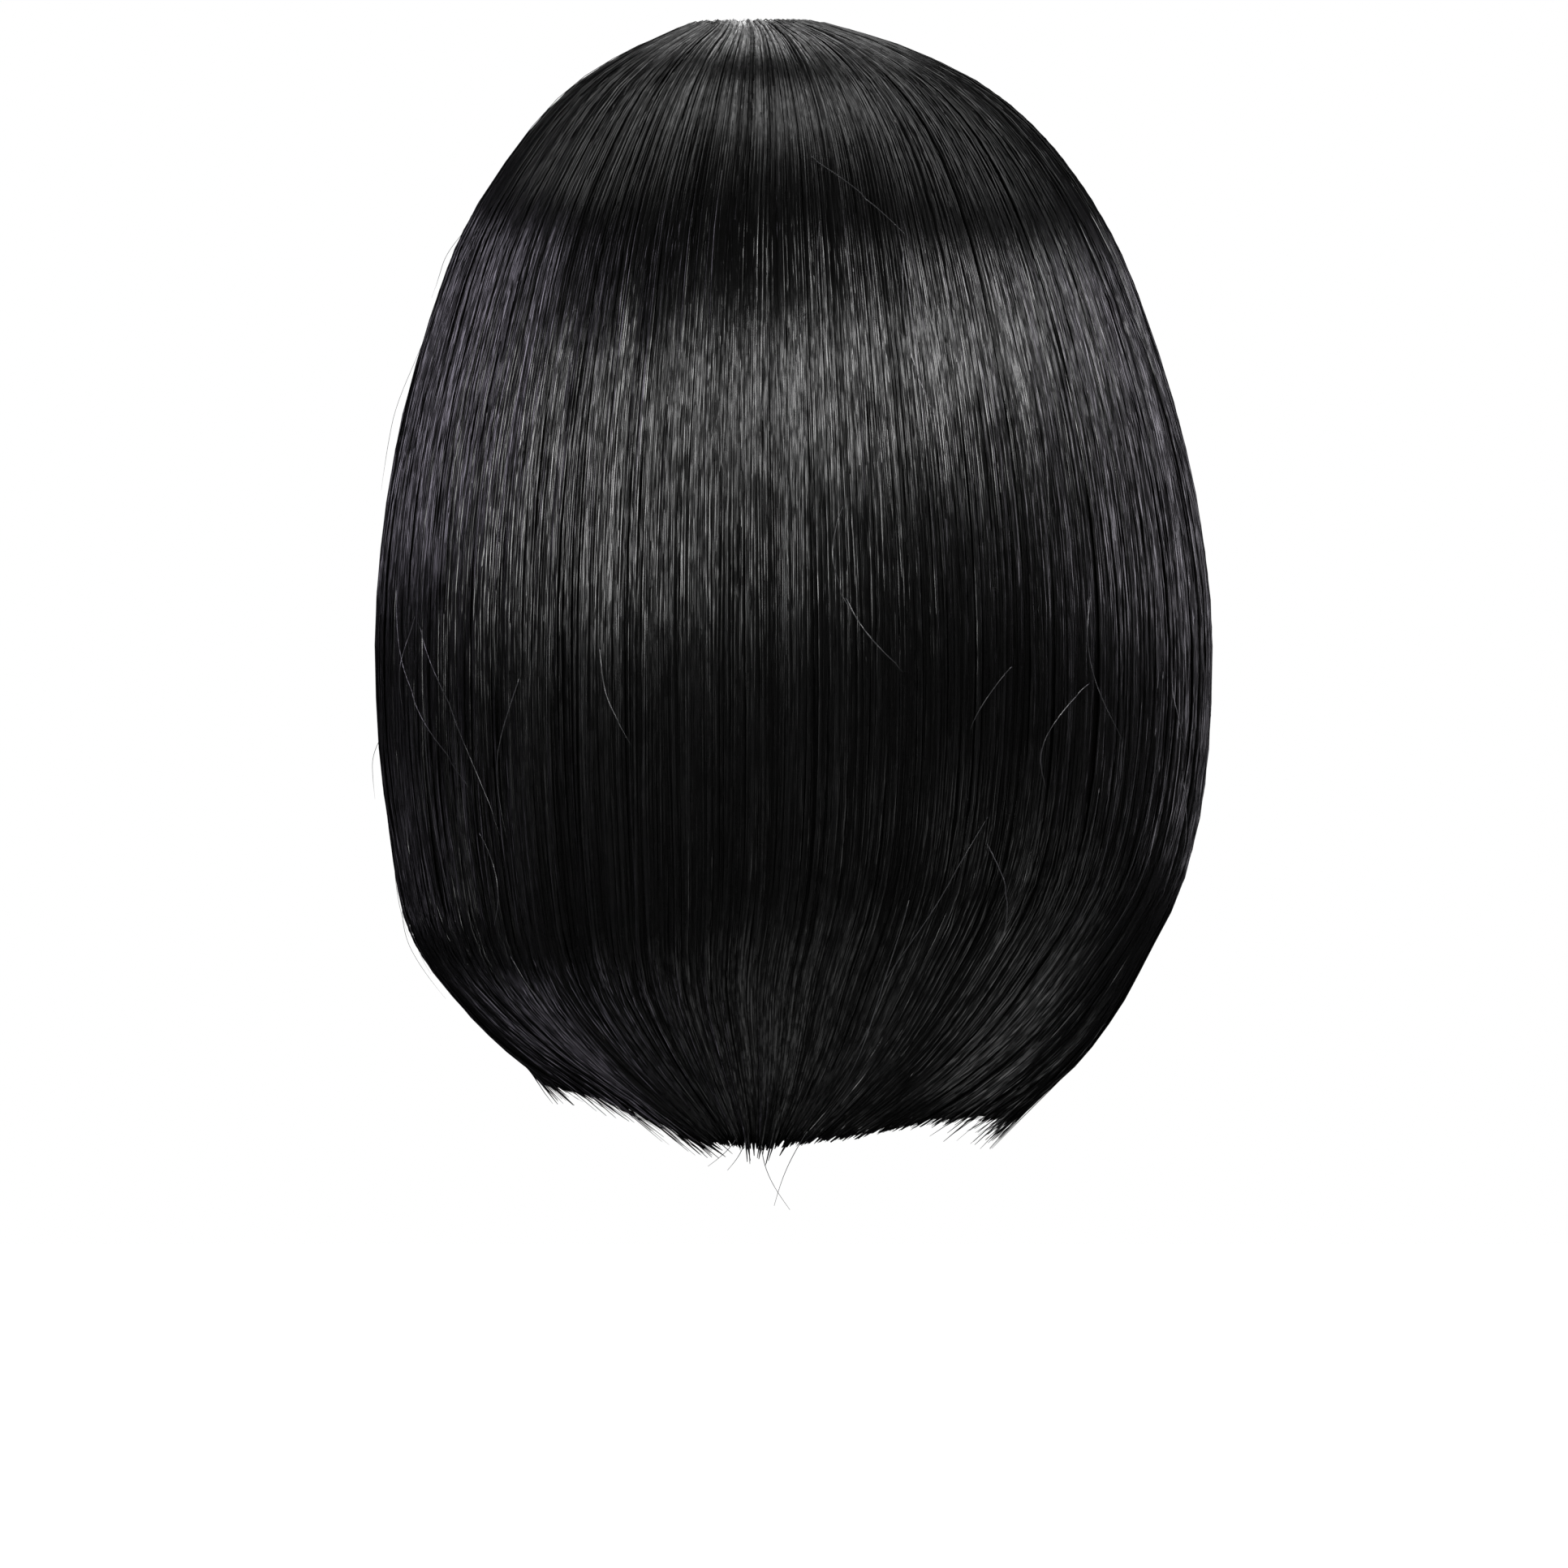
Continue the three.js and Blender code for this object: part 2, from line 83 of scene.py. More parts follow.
Output = tuple[bpy.types.Node, str | int]


def smooth(share: Array | float) -> Array | float:
    """Eases a share between 0 and 1, flat at both ends."""
    held = np.clip(share, 0.0, 1.0)
    return held * held * (3.0 - 2.0 * held)


def unit(vectors: Array) -> Array:
    """Vectors scaled to a length of one."""
    length = np.linalg.norm(vectors, axis=-1, keepdims=True)
    return vectors / np.maximum(length, 1e-12)


@dataclass(frozen=True)
class Ramp:
    """An eased rise from 0 to 1: where it starts and how long it takes."""

    start: float
    length: float

    def at(self, value: Array) -> Array:
        """Height of the rise at a value."""
        return smooth((value - self.start) / self.length)


@dataclass(frozen=True)
class Wave:
    """A shallow wave: how far it reaches, and about how many fit from whorl to hem."""

    reach: float
    turns: float


class Slot(Enum):
    """Material slots of the pieces that are made here."""

    HAIR = "hair"
    NET = "cap_net"
    ELASTIC = "edge_elastic"


@dataclass(frozen=True)
class Section:
    """One level section of the hair, in shares of the sizes of HairForm."""

    drop: float
    side: float
    back: float
    front: float
    wall: float
    shift: float


SECTIONS = (
    Section(0.0158, 0.055, 0.051, 0.055, 0.30, 1.00),
    Section(0.0014, 0.133, 0.146, 0.150, 0.40, 0.92),
    Section(0.0129, 0.242, 0.280, 0.290, 0.40, 0.66),
    Section(0.0340, 0.374, 0.434, 0.450, 0.40, 0.48),
    Section(0.0673, 0.518, 0.594, 0.620, 0.45, 0.32),
    Section(0.1187, 0.650, 0.742, 0.780, 0.50, 0.20),
    Section(0.1905, 0.774, 0.866, 0.900, 0.60, 0.17),
    Section(0.2755, 0.862, 0.946, 0.970, 0.75, 0.12),
    Section(0.3912, 0.946, 0.994, 1.000, 0.90, 0.06),
    Section(0.5218, 0.992, 1.000, 1.000, 1.00, 0.00),
    Section(0.6535, 0.989, 0.955, 0.975, 1.00, 0.00),
    Section(0.7687, 0.945, 0.886, 0.930, 0.90, 0.10),
    Section(0.8539, 0.868, 0.785, 0.915, 0.80, 0.38),
    Section(0.9209, 0.760, 0.736, 0.840, 0.65, 0.33),
    Section(0.9696, 0.643, 0.698, 0.745, 0.45, 0.30),
    Section(1.0000, 0.540, 0.660, 0.670, 0.20, 0.36),
)
LAST_ROW = len(SECTIONS) - 1


@dataclass(frozen=True)
class HairForm:
    """The smooth outer form of the hair, walked by azimuth and row of SECTIONS."""

    top: float = 10 * MM
    drop: float = 294 * MM
    half_width: float = 109 * MM
    back_depth: float = 116.5 * MM
    front_depth: float = 109.5 * MM
    wall: float = 7.5 * MM
    whorl: tuple[float, float] = (11 * MM, 14 * MM)
    last_fixed_row: int = 8
    face_edge: float = 145.0
    face_edge_at_hem: float = 128.0
    gather_kept: float = 0.36
    gather_power: float = 3.2
    gather_start: float = 0.3
    gather_skew: float = 0.08
    gather_ease: float = 4.6
    nape_drift: float = 4.0
    hem_azimuths: tuple[float, ...] = (-145, -120, -95, -70, -45, -15, 0, 15, 45, 70, 95, 120, 145)
    hem_drops: tuple[float, ...] = (
        0.912, 0.946, 0.974, 0.973, 0.986, 0.991, 0.993, 0.992, 0.987, 0.956, 0.936, 0.915, 0.890,
    )

    def section(self, row: Array) -> dict[str, Array]:
        """Smooth values of the table between its rows.

        Args:
            row: row numbers, which need not be whole.

        Returns:
            One array for each column of the table, shaped as row.
        """
        names = ("drop", "side", "back", "front", "wall", "shift")
        table = np.array([[getattr(section, name) for name in names] for section in SECTIONS])
        low = np.clip(np.floor(row).astype(int), 0, LAST_ROW - 1)
        part = (row - low)[..., None]
        before, start = table[np.maximum(low - 1, 0)], table[low]
        end, after = table[low + 1], table[np.minimum(low + 2, LAST_ROW)]
        slope_in, slope_out = (end - before) / 2, (after - start) / 2
        rise = end - start
        cubic = slope_in + slope_out - 2 * rise
        square = 3 * rise - 2 * slope_in - slope_out
        values = start + part * (slope_in + part * (square + part * cubic))
        return {name: values[..., index] for index, name in enumerate(names)}

    def fall(self, drop: Array) -> Array:
        """How far down its free fall a drop share is, from 0 at the last fixed row to 1."""
        start = SECTIONS[self.last_fixed_row].drop
        return np.maximum(0.0, (drop - start) / (1 - start))

    def turned(self, azimuth: Array, fall: Array) -> Array:
        """Azimuths of strands as they turn in towards the nape near their ends.

        Args:
            azimuth: where the strands leave the whorl.
            fall: how far down its free fall each point is.

        Returns:
            The azimuths of the points.
        """
        start = self.gather_start + self.gather_skew * np.sin(np.radians(azimuth))
        turn = np.maximum(0.0, (fall - start) / (1 - start)) ** self.gather_ease
        side = np.abs(azimuth)
        kept = self.gather_kept + (1 - self.gather_kept) * (side / 90) ** self.gather_power
        inner = azimuth * kept + self.nape_drift * np.cos(np.radians(azimuth)) ** 2
        share = (side - 90) / (self.face_edge - 90)
        outer = np.sign(azimuth) * (90 + (self.face_edge_at_hem - 90) * share)
        end = np.where(side > 90, outer, inner)
        end = np.where(side > self.face_edge + 3, azimuth, end)
        return azimuth + (end - azimuth) * turn

    def hem(self, azimuth: Array) -> Array:
        """How far down the hair ends, in metres below its top."""
        return np.interp(azimuth, self.hem_azimuths, self.hem_drops) * self.drop

    def row_at(self, drop: Array) -> Array:
        """Rows where the hair is a given drop in metres below its top, beside the crown."""
        rows = np.linspace(1, LAST_ROW, 400)
        return np.interp(drop, self.section(rows)["drop"] * self.drop, rows)

    def point(self, azimuth: Array, row: Array, hem: Array) -> Array:
        """Points of the outer form.

        Args:
            azimuth: where the strands leave the whorl, in degrees.
            row: row numbers.
            hem: how far below the top each strand ends, in metres.

        Returns:
            Points, with a last axis of three.
        """
        at = self.section(row)
        fall = self.fall(at["drop"])
        fixed = SECTIONS[self.last_fixed_row].drop * self.drop
        dropped = np.where(fall > 0, fixed + (hem - fixed) * fall, at["drop"] * self.drop)
        angle = np.radians(self.turned(azimuth, fall))
        depth = np.where(
            np.cos(angle) > 0, at["back"] * self.back_depth, at["front"] * self.front_depth
        )
        x = self.whorl[0] * at["shift"] + at["side"] * self.half_width * np.sin(angle)
        y = self.whorl[1] * at["shift"] + depth * np.cos(angle)
        return np.stack([x, y, self.top - dropped], axis=-1)


@dataclass(frozen=True)
class HeadForm:
    """The head that the cap is made for: a superellipse dome, tucked in at the nape."""

    half_breadth: float = 76 * MM
    half_length: float = 96.5 * MM
    crown_height: float = 85 * MM
    roundness: float = 2.2
    tuck: float = 0.16
    nape_drop: float = 146 * MM
    rim_azimuths: tuple[float, ...] = (0, 36, 63, 81, 99, 117, 135, 162, 180)
    rim_drops: tuple[float, ...] = (1.0, 0.97, 0.82, 0.69, 0.75, 0.76, 0.57, 0.45, 0.43)

    def rim(self, azimuth: Array) -> Array:
        """How far below the top of the head the cap ends, in metres."""
        side = np.abs((azimuth + 180) % 360 - 180)
        return np.interp(side, self.rim_azimuths, self.rim_drops) * self.nape_drop

    def share(self, drop: Array) -> Array:
        """Share of its half-sizes that the head reaches, drop metres below its top."""
        above = np.clip(1 - drop / self.crown_height, 0, 1)
        dome = (1 - above**self.roundness) ** (1 / self.roundness)
        below = np.maximum(0, drop - self.crown_height) / (self.nape_drop - self.crown_height)
        return dome - self.tuck * below**2

    def point(self, azimuth: Array, drop: Array, lift: Array | float = 0.0) -> Array:
        """Points set off the head.

        Args:
            azimuth: directions round the head, in degrees.
            drop: metres below the top of the head.
            lift: metres out from its surface.

        Returns:
            Points, with a last axis of three.
        """
        angle = np.radians(azimuth)
        share = self.share(drop)
        x = self.half_breadth * share * np.sin(angle)
        y = self.half_length * share * np.cos(angle)
        above = np.clip(1 - drop / self.crown_height, 0, 1)
        plan = np.maximum(share, 1e-6) ** (self.roundness - 2)
        outward = np.stack(
            [
                x / self.half_breadth**2 * plan,
                y / self.half_length**2 * plan,
                above ** (self.roundness - 1) / self.crown_height,
            ],
            axis=-1,
        )
        lifts = np.broadcast_to(np.asarray(lift, float), share.shape)[..., None]
        return np.stack([x, y, -drop], axis=-1) + unit(outward) * lifts


class Sheet:
    """A sheet of hair that strands lie on. The kinds of sheet give it their own points."""

    core = np.array([0.0, 0.0, -0.12])
    rows = float(LAST_ROW)
    relief = (0.55 * MM, 1.2 * MM)
    relief_deepens = Ramp(50, 35)
    relief_grows = Ramp(1, 4)
    relief_fades = Ramp(0.85, 0.15)
    faded = 0.6
    edge_wander = 0.2
    size_spread = 0.3
    back_shape = 0.8
    sunk = 0.5
    end_thins = Ramp(0.8, 0.2)
    end_thinned = 0.6
    step_across = 0.4
    step_along = 0.004

    def __init__(self, form: HairForm, start: float, end: float, locks: int) -> None:
        """Keeps the form, the two edge azimuths of the sheet and its number of locks."""
        self.form = form
        self.start = start
        self.end = end
        self.locks = locks

    def smooth_point(self, azimuth: Array, travel: Array) -> Array:
        """Points of the sheet without its locks."""
        raise NotImplementedError

    def point(self, azimuth: Array, travel: Array) -> Array:
        """Points of the sheet, raised along the backs of its locks.

        Args:
            azimuth: where the strands leave the whorl, in degrees.
            travel: travel of each point.

        Returns:
            Points, with a last axis of three.
        """
        place = self.smooth_point(azimuth, travel)
        away = place - self.core
        away[..., 2] = np.where(place[..., 2] < self.core[2], 0.0, away[..., 2])
        return place + unit(away) * self.lock_lift(azimuth, travel)[..., None]

    @staticmethod
    def uneven(number: Array) -> Array:
        """A fixed value from -1 to 1 for each number, by which the locks differ."""
        return np.sin(7.3 * number + 1.1)

    def lock_lift(self, azimuth: Array, travel: Array) -> Array:
        """How far the locks rise above or sink below the smooth sheet.

        Args:
            azimuth: where the strands leave the whorl, in degrees.
            travel: travel of each point.

        Returns:
            The lift of each point, in metres.
        """
        number = np.arange(self.locks + 1)
        inner = (number > 0) & (number < self.locks)
        edges = number + self.edge_wander * inner * self.uneven(number + self.start)
        place = np.clip((azimuth - self.start) / (self.end - self.start), 0, 1) * self.locks
        lock = np.clip(np.searchsorted(edges, place, side="right") - 1, 0, self.locks - 1)
        across = np.clip((place - edges[lock]) / (edges[lock + 1] - edges[lock]), 0, 1)
        size = 1 + self.size_spread * self.uneven(3 * lock + self.end)
        rise = np.sin(math.pi * across) ** self.back_shape * size - self.sunk
        grown = self.relief_grows.at(travel * self.rows)
        grown = grown * (1 - self.faded * self.relief_fades.at(travel))
        low, high = self.relief
        deep = low + (high - low) * self.relief_deepens.at(np.abs(azimuth))
        return deep * rise * grown

    def wall(self, azimuth: Array, travel: Array) -> Array:
        """Thickness of the sheet in metres."""
        raise NotImplementedError

    def end_taper(self, travel: Array) -> Array:
        """Share of its thickness that a cut sheet keeps towards its end."""
        return 1 - self.end_thinned * self.end_thins.at(travel)

    def across(self, azimuth: Array, travel: Array) -> Array:
        """Short steps over the sheet, level and towards greater azimuths."""
        step = self.step_across
        return self.point(azimuth + step, travel) - self.point(azimuth - step, travel)

    def outward(self, azimuth: Array, travel: Array) -> Array:
        """Directions that face out of the sheet.

        Args:
            azimuth: where the strands leave the whorl, in degrees.
            travel: travel of each point.

        Returns:
            Vectors of length one.
        """
        step = self.step_along
        along = self.point(azimuth, travel + step) - self.point(azimuth, travel - step)
        normal = unit(np.cross(self.across(azimuth, travel), along))
        away = self.point(azimuth, travel) - self.core
        side = np.sign(np.sum(normal * away, axis=-1, keepdims=True))
        return normal * np.where(side == 0, 1.0, side)


class LongSheet(Sheet):
    """Outer hair of the back and sides, from the whorl to the hem."""

    beside_face = Ramp(0, 9.0)
    face_thins = Ramp(0.35, 0.15)
    face_thinned = 0.7

    def smooth_point(self, azimuth: Array, travel: Array) -> Array:
        """Points of the sheet without its locks."""
        return self.form.point(azimuth, travel * LAST_ROW, self.form.hem(azimuth))

    def wall(self, azimuth: Array, travel: Array) -> Array:
        """Thickness of the sheet, thinned beside the face."""
        at = self.form.section(travel * LAST_ROW)
        edge = self.beside_face.at(self.form.face_edge - np.abs(azimuth))
        low = self.face_thins.at(travel)
        return at["wall"] * self.form.wall * (1 - low * (1 - edge) * self.face_thinned)


class FringeSheet(Sheet):
    """Hair that falls forward and is cut across the brow."""

    cut_drop = 104 * MM
    edge_drop = 6 * MM
    rows = 7.6

    def rows_at(self, azimuth: Array, travel: Array) -> Array:
        """Row numbers of points of the fringe."""
        aside = (azimuth - 180) / (180 - self.form.face_edge)
        return travel * self.form.row_at(self.cut_drop + self.edge_drop * aside**2)

    def smooth_point(self, azimuth: Array, travel: Array) -> Array:
        """Points of the sheet without its locks."""
        hem = np.full(np.shape(azimuth), self.form.drop)
        return self.form.point(azimuth, self.rows_at(azimuth, travel), hem)

    def wall(self, azimuth: Array, travel: Array) -> Array:
        """Thickness of the sheet, thinned at its cut."""
        at = self.form.section(self.rows_at(azimuth, travel))
        return at["wall"] * self.form.wall * self.end_taper(travel)


class UnderSheet(Sheet):
    """Shorter hair sewn to the lower cap, behind the outer hair."""

    head = HeadForm()
    root_drop = 77 * MM
    root_lift = 3.4 * MM
    shortfall = 30 * MM
    depth = 9.6 * MM
    thickness = 3.6 * MM
    leaves_cap = Ramp(0.0, 0.22)

    def smooth_point(self, azimuth: Array, travel: Array) -> Array:
        """Points of the sheet, from its root on the cap to its own hem.

        Args:
            azimuth: where the strands leave the whorl, in degrees.
            travel: travel of each point, from 0 at the cap.

        Returns:
            Points, with a last axis of three.
        """
        hem = self.form.hem(azimuth)
        first = float(self.form.last_fixed_row)
        start = SECTIONS[self.form.last_fixed_row].drop
        fixed = start * self.form.drop
        end = start + (1 - start) * (hem - self.shortfall - fixed) / (hem - fixed)
        row = first + (self.form.row_at(end * self.form.drop) - first) * travel
        hang = self.form.point(azimuth, row, hem)
        middle = hang * np.array([0.0, 0.0, 1.0])
        hang = hang + unit(middle - hang) * self.depth
        root = self.head.point(azimuth, np.full(np.shape(azimuth), self.root_drop), self.root_lift)
        return root + (hang - root) * self.leaves_cap.at(travel)[..., None]

    def wall(self, azimuth: Array, travel: Array) -> Array:
        """Thickness of the sheet in metres."""
        return self.thickness * self.end_taper(travel) * (0.5 + 0.5 * self.leaves_cap.at(travel))


@dataclass(frozen=True)
class HairFinish:
    """Sleek dark fibre: a dull base under a thin gloss that breaks up into glints."""

    name: str
    deep: Colour = (0.0008, 0.0008, 0.0008)
    # Pale colour that a strand's base leans to by its shade: a faint random tone on ordinary strands,
    # and a painted sheen on loose hairs, whose shade is 1.
    pale_tone_and_painted_sheen: Colour = (0.016, 0.016, 0.017)
    paling: float = 16.0
    roughness: tuple[float, float] = (0.62, 0.36)
    base_specular: float = 0.02
    coat_roughness: float = 0.2
    coat_ior: float = 1.66
    glints_across: float = 640.0
    glints_along: float = 75.0
    tresses_across: float = 90.0
    tresses_along: float = 9.0
    tress_gloss: float = 0.15
    glint_gloss: tuple[float, float] = (0.75, 0.2)
    even_gloss: float = 0.5
    crown_evenness: float = 0.6
    crown_heights: tuple[float, float] = (-80 * MM, -35 * MM)
    bump: float = 0.5
    bump_depth: float = 0.5 * MM

    def material(self) -> bpy.types.Material:
        """The finish as a material with its own node tree."""
        kit = NodeKit.for_material(self.name)
        flow = kit.add("ShaderNodeUVMap", uv_map="Flow")
        glints = kit.group(fibre_streaks(), Across=self.glints_across, Along=self.glints_along)
        tresses = kit.group(fibre_streaks(), Across=self.tresses_across, Along=self.tresses_along)
        shade = kit.add("ShaderNodeAttribute", attribute_name="shade")
        for streaks in (glints, tresses):
            kit.link(flow, "UV", streaks, "Flow")
        tone = kit.math("MULTIPLY_ADD", (tresses, "Mask"), self.tress_gloss, (shade, "Fac"))
        gloss = kit.math("MULTIPLY_ADD", (glints, "Mask"), *self.glint_gloss)
        even = kit.add("ShaderNodeMix", data_type="FLOAT")
        kit.link(self.crown(kit), 0, even, Mix.FACTOR)
        kit.link(gloss, 0, even, Mix.NUMBER_A)
        kit.give(even, {Mix.NUMBER_B: self.even_gloss})
        coat = kit.math("MULTIPLY", (even, Mix.NUMBER_OUT), (tone, 0))
        # Base colour from deep towards the pale colour by shade to the power of paling, so only loose
        # hairs at shade 1 get the full painted sheen.
        kit.colour(self.deep, self.pale_tone_and_painted_sheen, (kit.math("POWER", (shade, "Fac"), self.paling), 0))
        rough = kit.remap((glints, "Mask"), (0.0, 1.0), self.roughness, "LINEAR")
        kit.bump((glints, "Height"), self.bump, self.bump_depth)
        kit.link(rough, 0, kit.shader, "Roughness")
        kit.link(coat, 0, kit.shader, "Coat Weight")
        kit.give(kit.shader, {"Specular IOR Level": self.base_specular, "Coat IOR": self.coat_ior})
        kit.give(kit.shader, {"Coat Roughness": self.coat_roughness})
        return kit.material

    def crown(self, kit: NodeKit) -> bpy.types.Node:
        """How near the crown a place is, where the gloss is more even.


        Returns:
            The node that gives it.
        """
        place = kit.add("ShaderNodeTexCoord")
        height = kit.add("ShaderNodeSeparateXYZ")
        kit.link(place, "Object", height, "Vector")
        return kit.remap((height, "Z"), self.crown_heights, (0.0, self.crown_evenness), "SMOOTHSTEP")


@dataclass(frozen=True)
class NetFinish:
    """Fine knitted net, seen as small open cells between threads."""

    name: str
    thread: Colour
    gap: Colour
    cells: float = 900.0
    roughness: float = 0.8
    sheen: float = 0.15
    bump: float = 0.6
    bump_depth: float = 0.3 * MM

    def material(self) -> bpy.types.Material:
        """The finish as a material with its own node tree."""
        kit = NodeKit.for_material(self.name)
        place = kit.add("ShaderNodeTexCoord")
        net = kit.group(net_cells(), Cells=self.cells)
        kit.link(place, "Object", net, "Place")
        kit.colour(self.gap, self.thread, (net, "Mask"))
        kit.bump((net, "Mask"), self.bump, self.bump_depth)
        kit.give(kit.shader, {"Roughness": self.roughness, "Sheen Weight": self.sheen})
        return kit.material


@dataclass(frozen=True)
class ElasticFinish:
    """Woven elastic with ribs that run along the band."""

    name: str
    valley: Colour = (0.006, 0.006, 0.007)
    rib: Colour = (0.03, 0.03, 0.033)
    ribs: float = 7.0
    picks: float = 420.0
    roughness: float = 0.75
    bump: float = 0.5
    bump_depth: float = 0.3 * MM

    def material(self) -> bpy.types.Material:
        """The finish as a material with its own node tree."""
        kit = NodeKit.for_material(self.name)
        flow = kit.add("ShaderNodeUVMap", uv_map="Flow")
        across = kit.wave(flow, "Y", self.ribs)
        along = kit.wave(flow, "X", self.picks)
        weave = kit.add("ShaderNodeMath", operation="MULTIPLY")
        kit.link(across, "Fac", weave, 0)
        kit.link(along, "Fac", weave, 1)
        kit.colour(self.valley, self.rib, (weave, 0))
        kit.bump((weave, 0), self.bump, self.bump_depth)
        kit.give(kit.shader, {"Roughness": self.roughness})
        return kit.material


class Mix(IntEnum):
    """Sockets of a Mix node, whose names repeat."""

    FACTOR = 0
    NUMBER_A = 2
    NUMBER_B = 3
    COLOUR_A = 6
    COLOUR_B = 7
    NUMBER_OUT = 0
    COLOUR_OUT = 2


class NodeKit:
    """Short ways to add and link nodes in one tree."""

    def __init__(self, tree: bpy.types.NodeTree) -> None:
        """Keeps the tree that nodes go into."""
        self.tree = tree
        self.material: bpy.types.Material | None = None
        self.shader: bpy.types.Node | None = None

    @classmethod
    def for_material(cls, name: str) -> NodeKit:
        """A new material with its Principled shader in place.

        Args:
            name: the material's name.
        """
        material = bpy.data.materials.new(name)
        material.use_nodes = True
        kit = cls(material.node_tree)
        kit.material = material
        kit.shader = material.node_tree.nodes["Principled BSDF"]
        return kit

    def add(self, kind: str, **settings: object) -> bpy.types.Node:
        """A new node of that kind with its settings."""
        node = self.tree.nodes.new(kind)
        for name, value in settings.items():
            setattr(node, name, value)
        return node

    @staticmethod
    def give(node: bpy.types.Node, values: dict[str | int, object]) -> None:
        """Gives inputs of a node their own values."""
        for name, value in values.items():
            node.inputs[name].default_value = value

    def group(self, made: bpy.types.NodeTree, **values: float) -> bpy.types.Node:
        """A node group in this tree, with its own input values."""
        node = self.add("ShaderNodeGroup", node_tree=made)
        self.give(node, values)
        return node

    def link(
        self, source: bpy.types.Node, out: str | int, target: bpy.types.Node, into: str | int
    ) -> None:
        """Joins an output of one node to an input of another."""
        self.tree.links.new(source.outputs[out], target.inputs[into])

    def remap(
        self, source: Output, old: tuple[float, float], new: tuple[float, float], kind: str
    ) -> bpy.types.Node:
        """Moves a value from one range to another.

        Args:
            source: the node and output that give the value.
            old: the value's range.
            new: the range that it gets.
            kind: the Map Range node's interpolation.

        Returns:
            The Map Range node.
        """
        node = self.add("ShaderNodeMapRange", interpolation_type=kind)
        names = ("From Min", "From Max", "To Min", "To Max")
        self.give(node, dict(zip(names, (*old, *new))))
        self.link(*source, node, "Value")
        return node

    def bump(self, height: Output, strength: float, depth: float) -> None:
        """Bumps the shader's normal.

        Args:
            height: the node and output that give the height.
            strength: share of the bump that shows.
            depth: metres from the lowest to the highest.
        """
        node = self.add("ShaderNodeBump")
        self.give(node, {"Strength": strength, "Distance": depth})
        self.link(*height, node, "Height")
        self.link(node, "Normal", self.shader, "Normal")

    def math(self, operation: str, *values: Output | float) -> bpy.types.Node:
        """A sum of that kind, on plain numbers and on outputs of other nodes.

        Args:
            operation: the Math node's operation.
            values: for each input a number, or a node and its output.

        Returns:
            The Math node, whose result is held between 0 and 1.
        """
        node = self.add("ShaderNodeMath", operation=operation, use_clamp=True)
        for index, value in enumerate(values):
            if isinstance(value, tuple):
                self.link(*value, node, index)
            else:
                node.inputs[index].default_value = value
        return node

    def colour(self, low: Colour, high: Colour, factor: Output) -> None:
        """Colours the shader from one colour to the other.

        Args:
            low: the colour at 0.
            high: the colour at 1.
            factor: the node and output that give the share of the second.
        """
        node = self.add("ShaderNodeMix", data_type="RGBA")
        self.give(node, {Mix.COLOUR_A: (*low, 1), Mix.COLOUR_B: (*high, 1)})
        self.link(*factor, node, Mix.FACTOR)
        self.link(node, Mix.COLOUR_OUT, self.shader, "Base Color")

    def wave(self, flow: bpy.types.Node, direction: str, count: float) -> bpy.types.Node:
        """Even bands along one direction of a UV map."""
        node = self.add("ShaderNodeTexWave", bands_direction=direction)
        self.give(node, {"Scale": count / math.tau})
        self.link(flow, "UV", node, "Vector")
        return node


def new_group(name: str, inputs: dict[str, str], outputs: dict[str, str]) -> NodeKit:
    """A shader node group with named sockets.

    Args:
        name: the group's name.
        inputs: socket name to socket type.
        outputs: socket name to socket type.
    """
    tree = bpy.data.node_groups.new(name, "ShaderNodeTree")
    for in_out, sockets in (("INPUT", inputs), ("OUTPUT", outputs)):
        for socket, kind in sockets.items():
            tree.interface.new_socket(socket, in_out=in_out, socket_type=kind)
    return NodeKit(tree)


@cache
def fibre_streaks() -> bpy.types.NodeTree:
    """Streaks that run with the hair: a mask and a height from its flow map."""
    kit = new_group(
        "Fibre streaks",
        {"Flow": "NodeSocketVector", "Across": "NodeSocketFloat", "Along": "NodeSocketFloat"},
        {"Mask": "NodeSocketFloat", "Height": "NodeSocketFloat"},
    )
    given = kit.add("NodeGroupInput")
    result = kit.add("NodeGroupOutput")
    stretch = kit.add("ShaderNodeCombineXYZ")
    kit.link(given, "Across", stretch, "X")
    kit.link(given, "Along", stretch, "Y")
    scaled = kit.add("ShaderNodeVectorMath", operation="MULTIPLY")
    kit.link(given, "Flow", scaled, 0)
    kit.link(stretch, 0, scaled, 1)
    fine = kit.add("ShaderNodeTexNoise", noise_dimensions="2D")
    kit.give(fine, {"Scale": 1.0, "Detail": 2.0})
    kit.link(scaled, 0, fine, "Vector")
    parted = kit.remap((fine, "Fac"), (0.36, 0.66), (0.0, 1.0), "SMOOTHSTEP")
    kit.link(parted, 0, result, "Mask")
    kit.link(fine, "Fac", result, "Height")
    return kit.tree


@cache
def net_cells() -> bpy.types.NodeTree:
    """Small net cells on object coordinates: 1 on the threads and 0 in the gaps."""
    kit = new_group(
        "Net cells",
        {"Place": "NodeSocketVector", "Cells": "NodeSocketFloat"},
        {"Mask": "NodeSocketFloat"},
    )
    given = kit.add("NodeGroupInput")
    result = kit.add("NodeGroupOutput")
    cells = kit.add("ShaderNodeTexVoronoi", feature="DISTANCE_TO_EDGE")
    kit.link(given, "Place", cells, "Vector")
    kit.link(given, "Cells", cells, "Scale")
    threads = kit.remap((cells, "Distance"), (0.04, 0.16), (1.0, 0.0), "LINEAR")
    kit.link(threads, 0, result, "Mask")
    return kit.tree


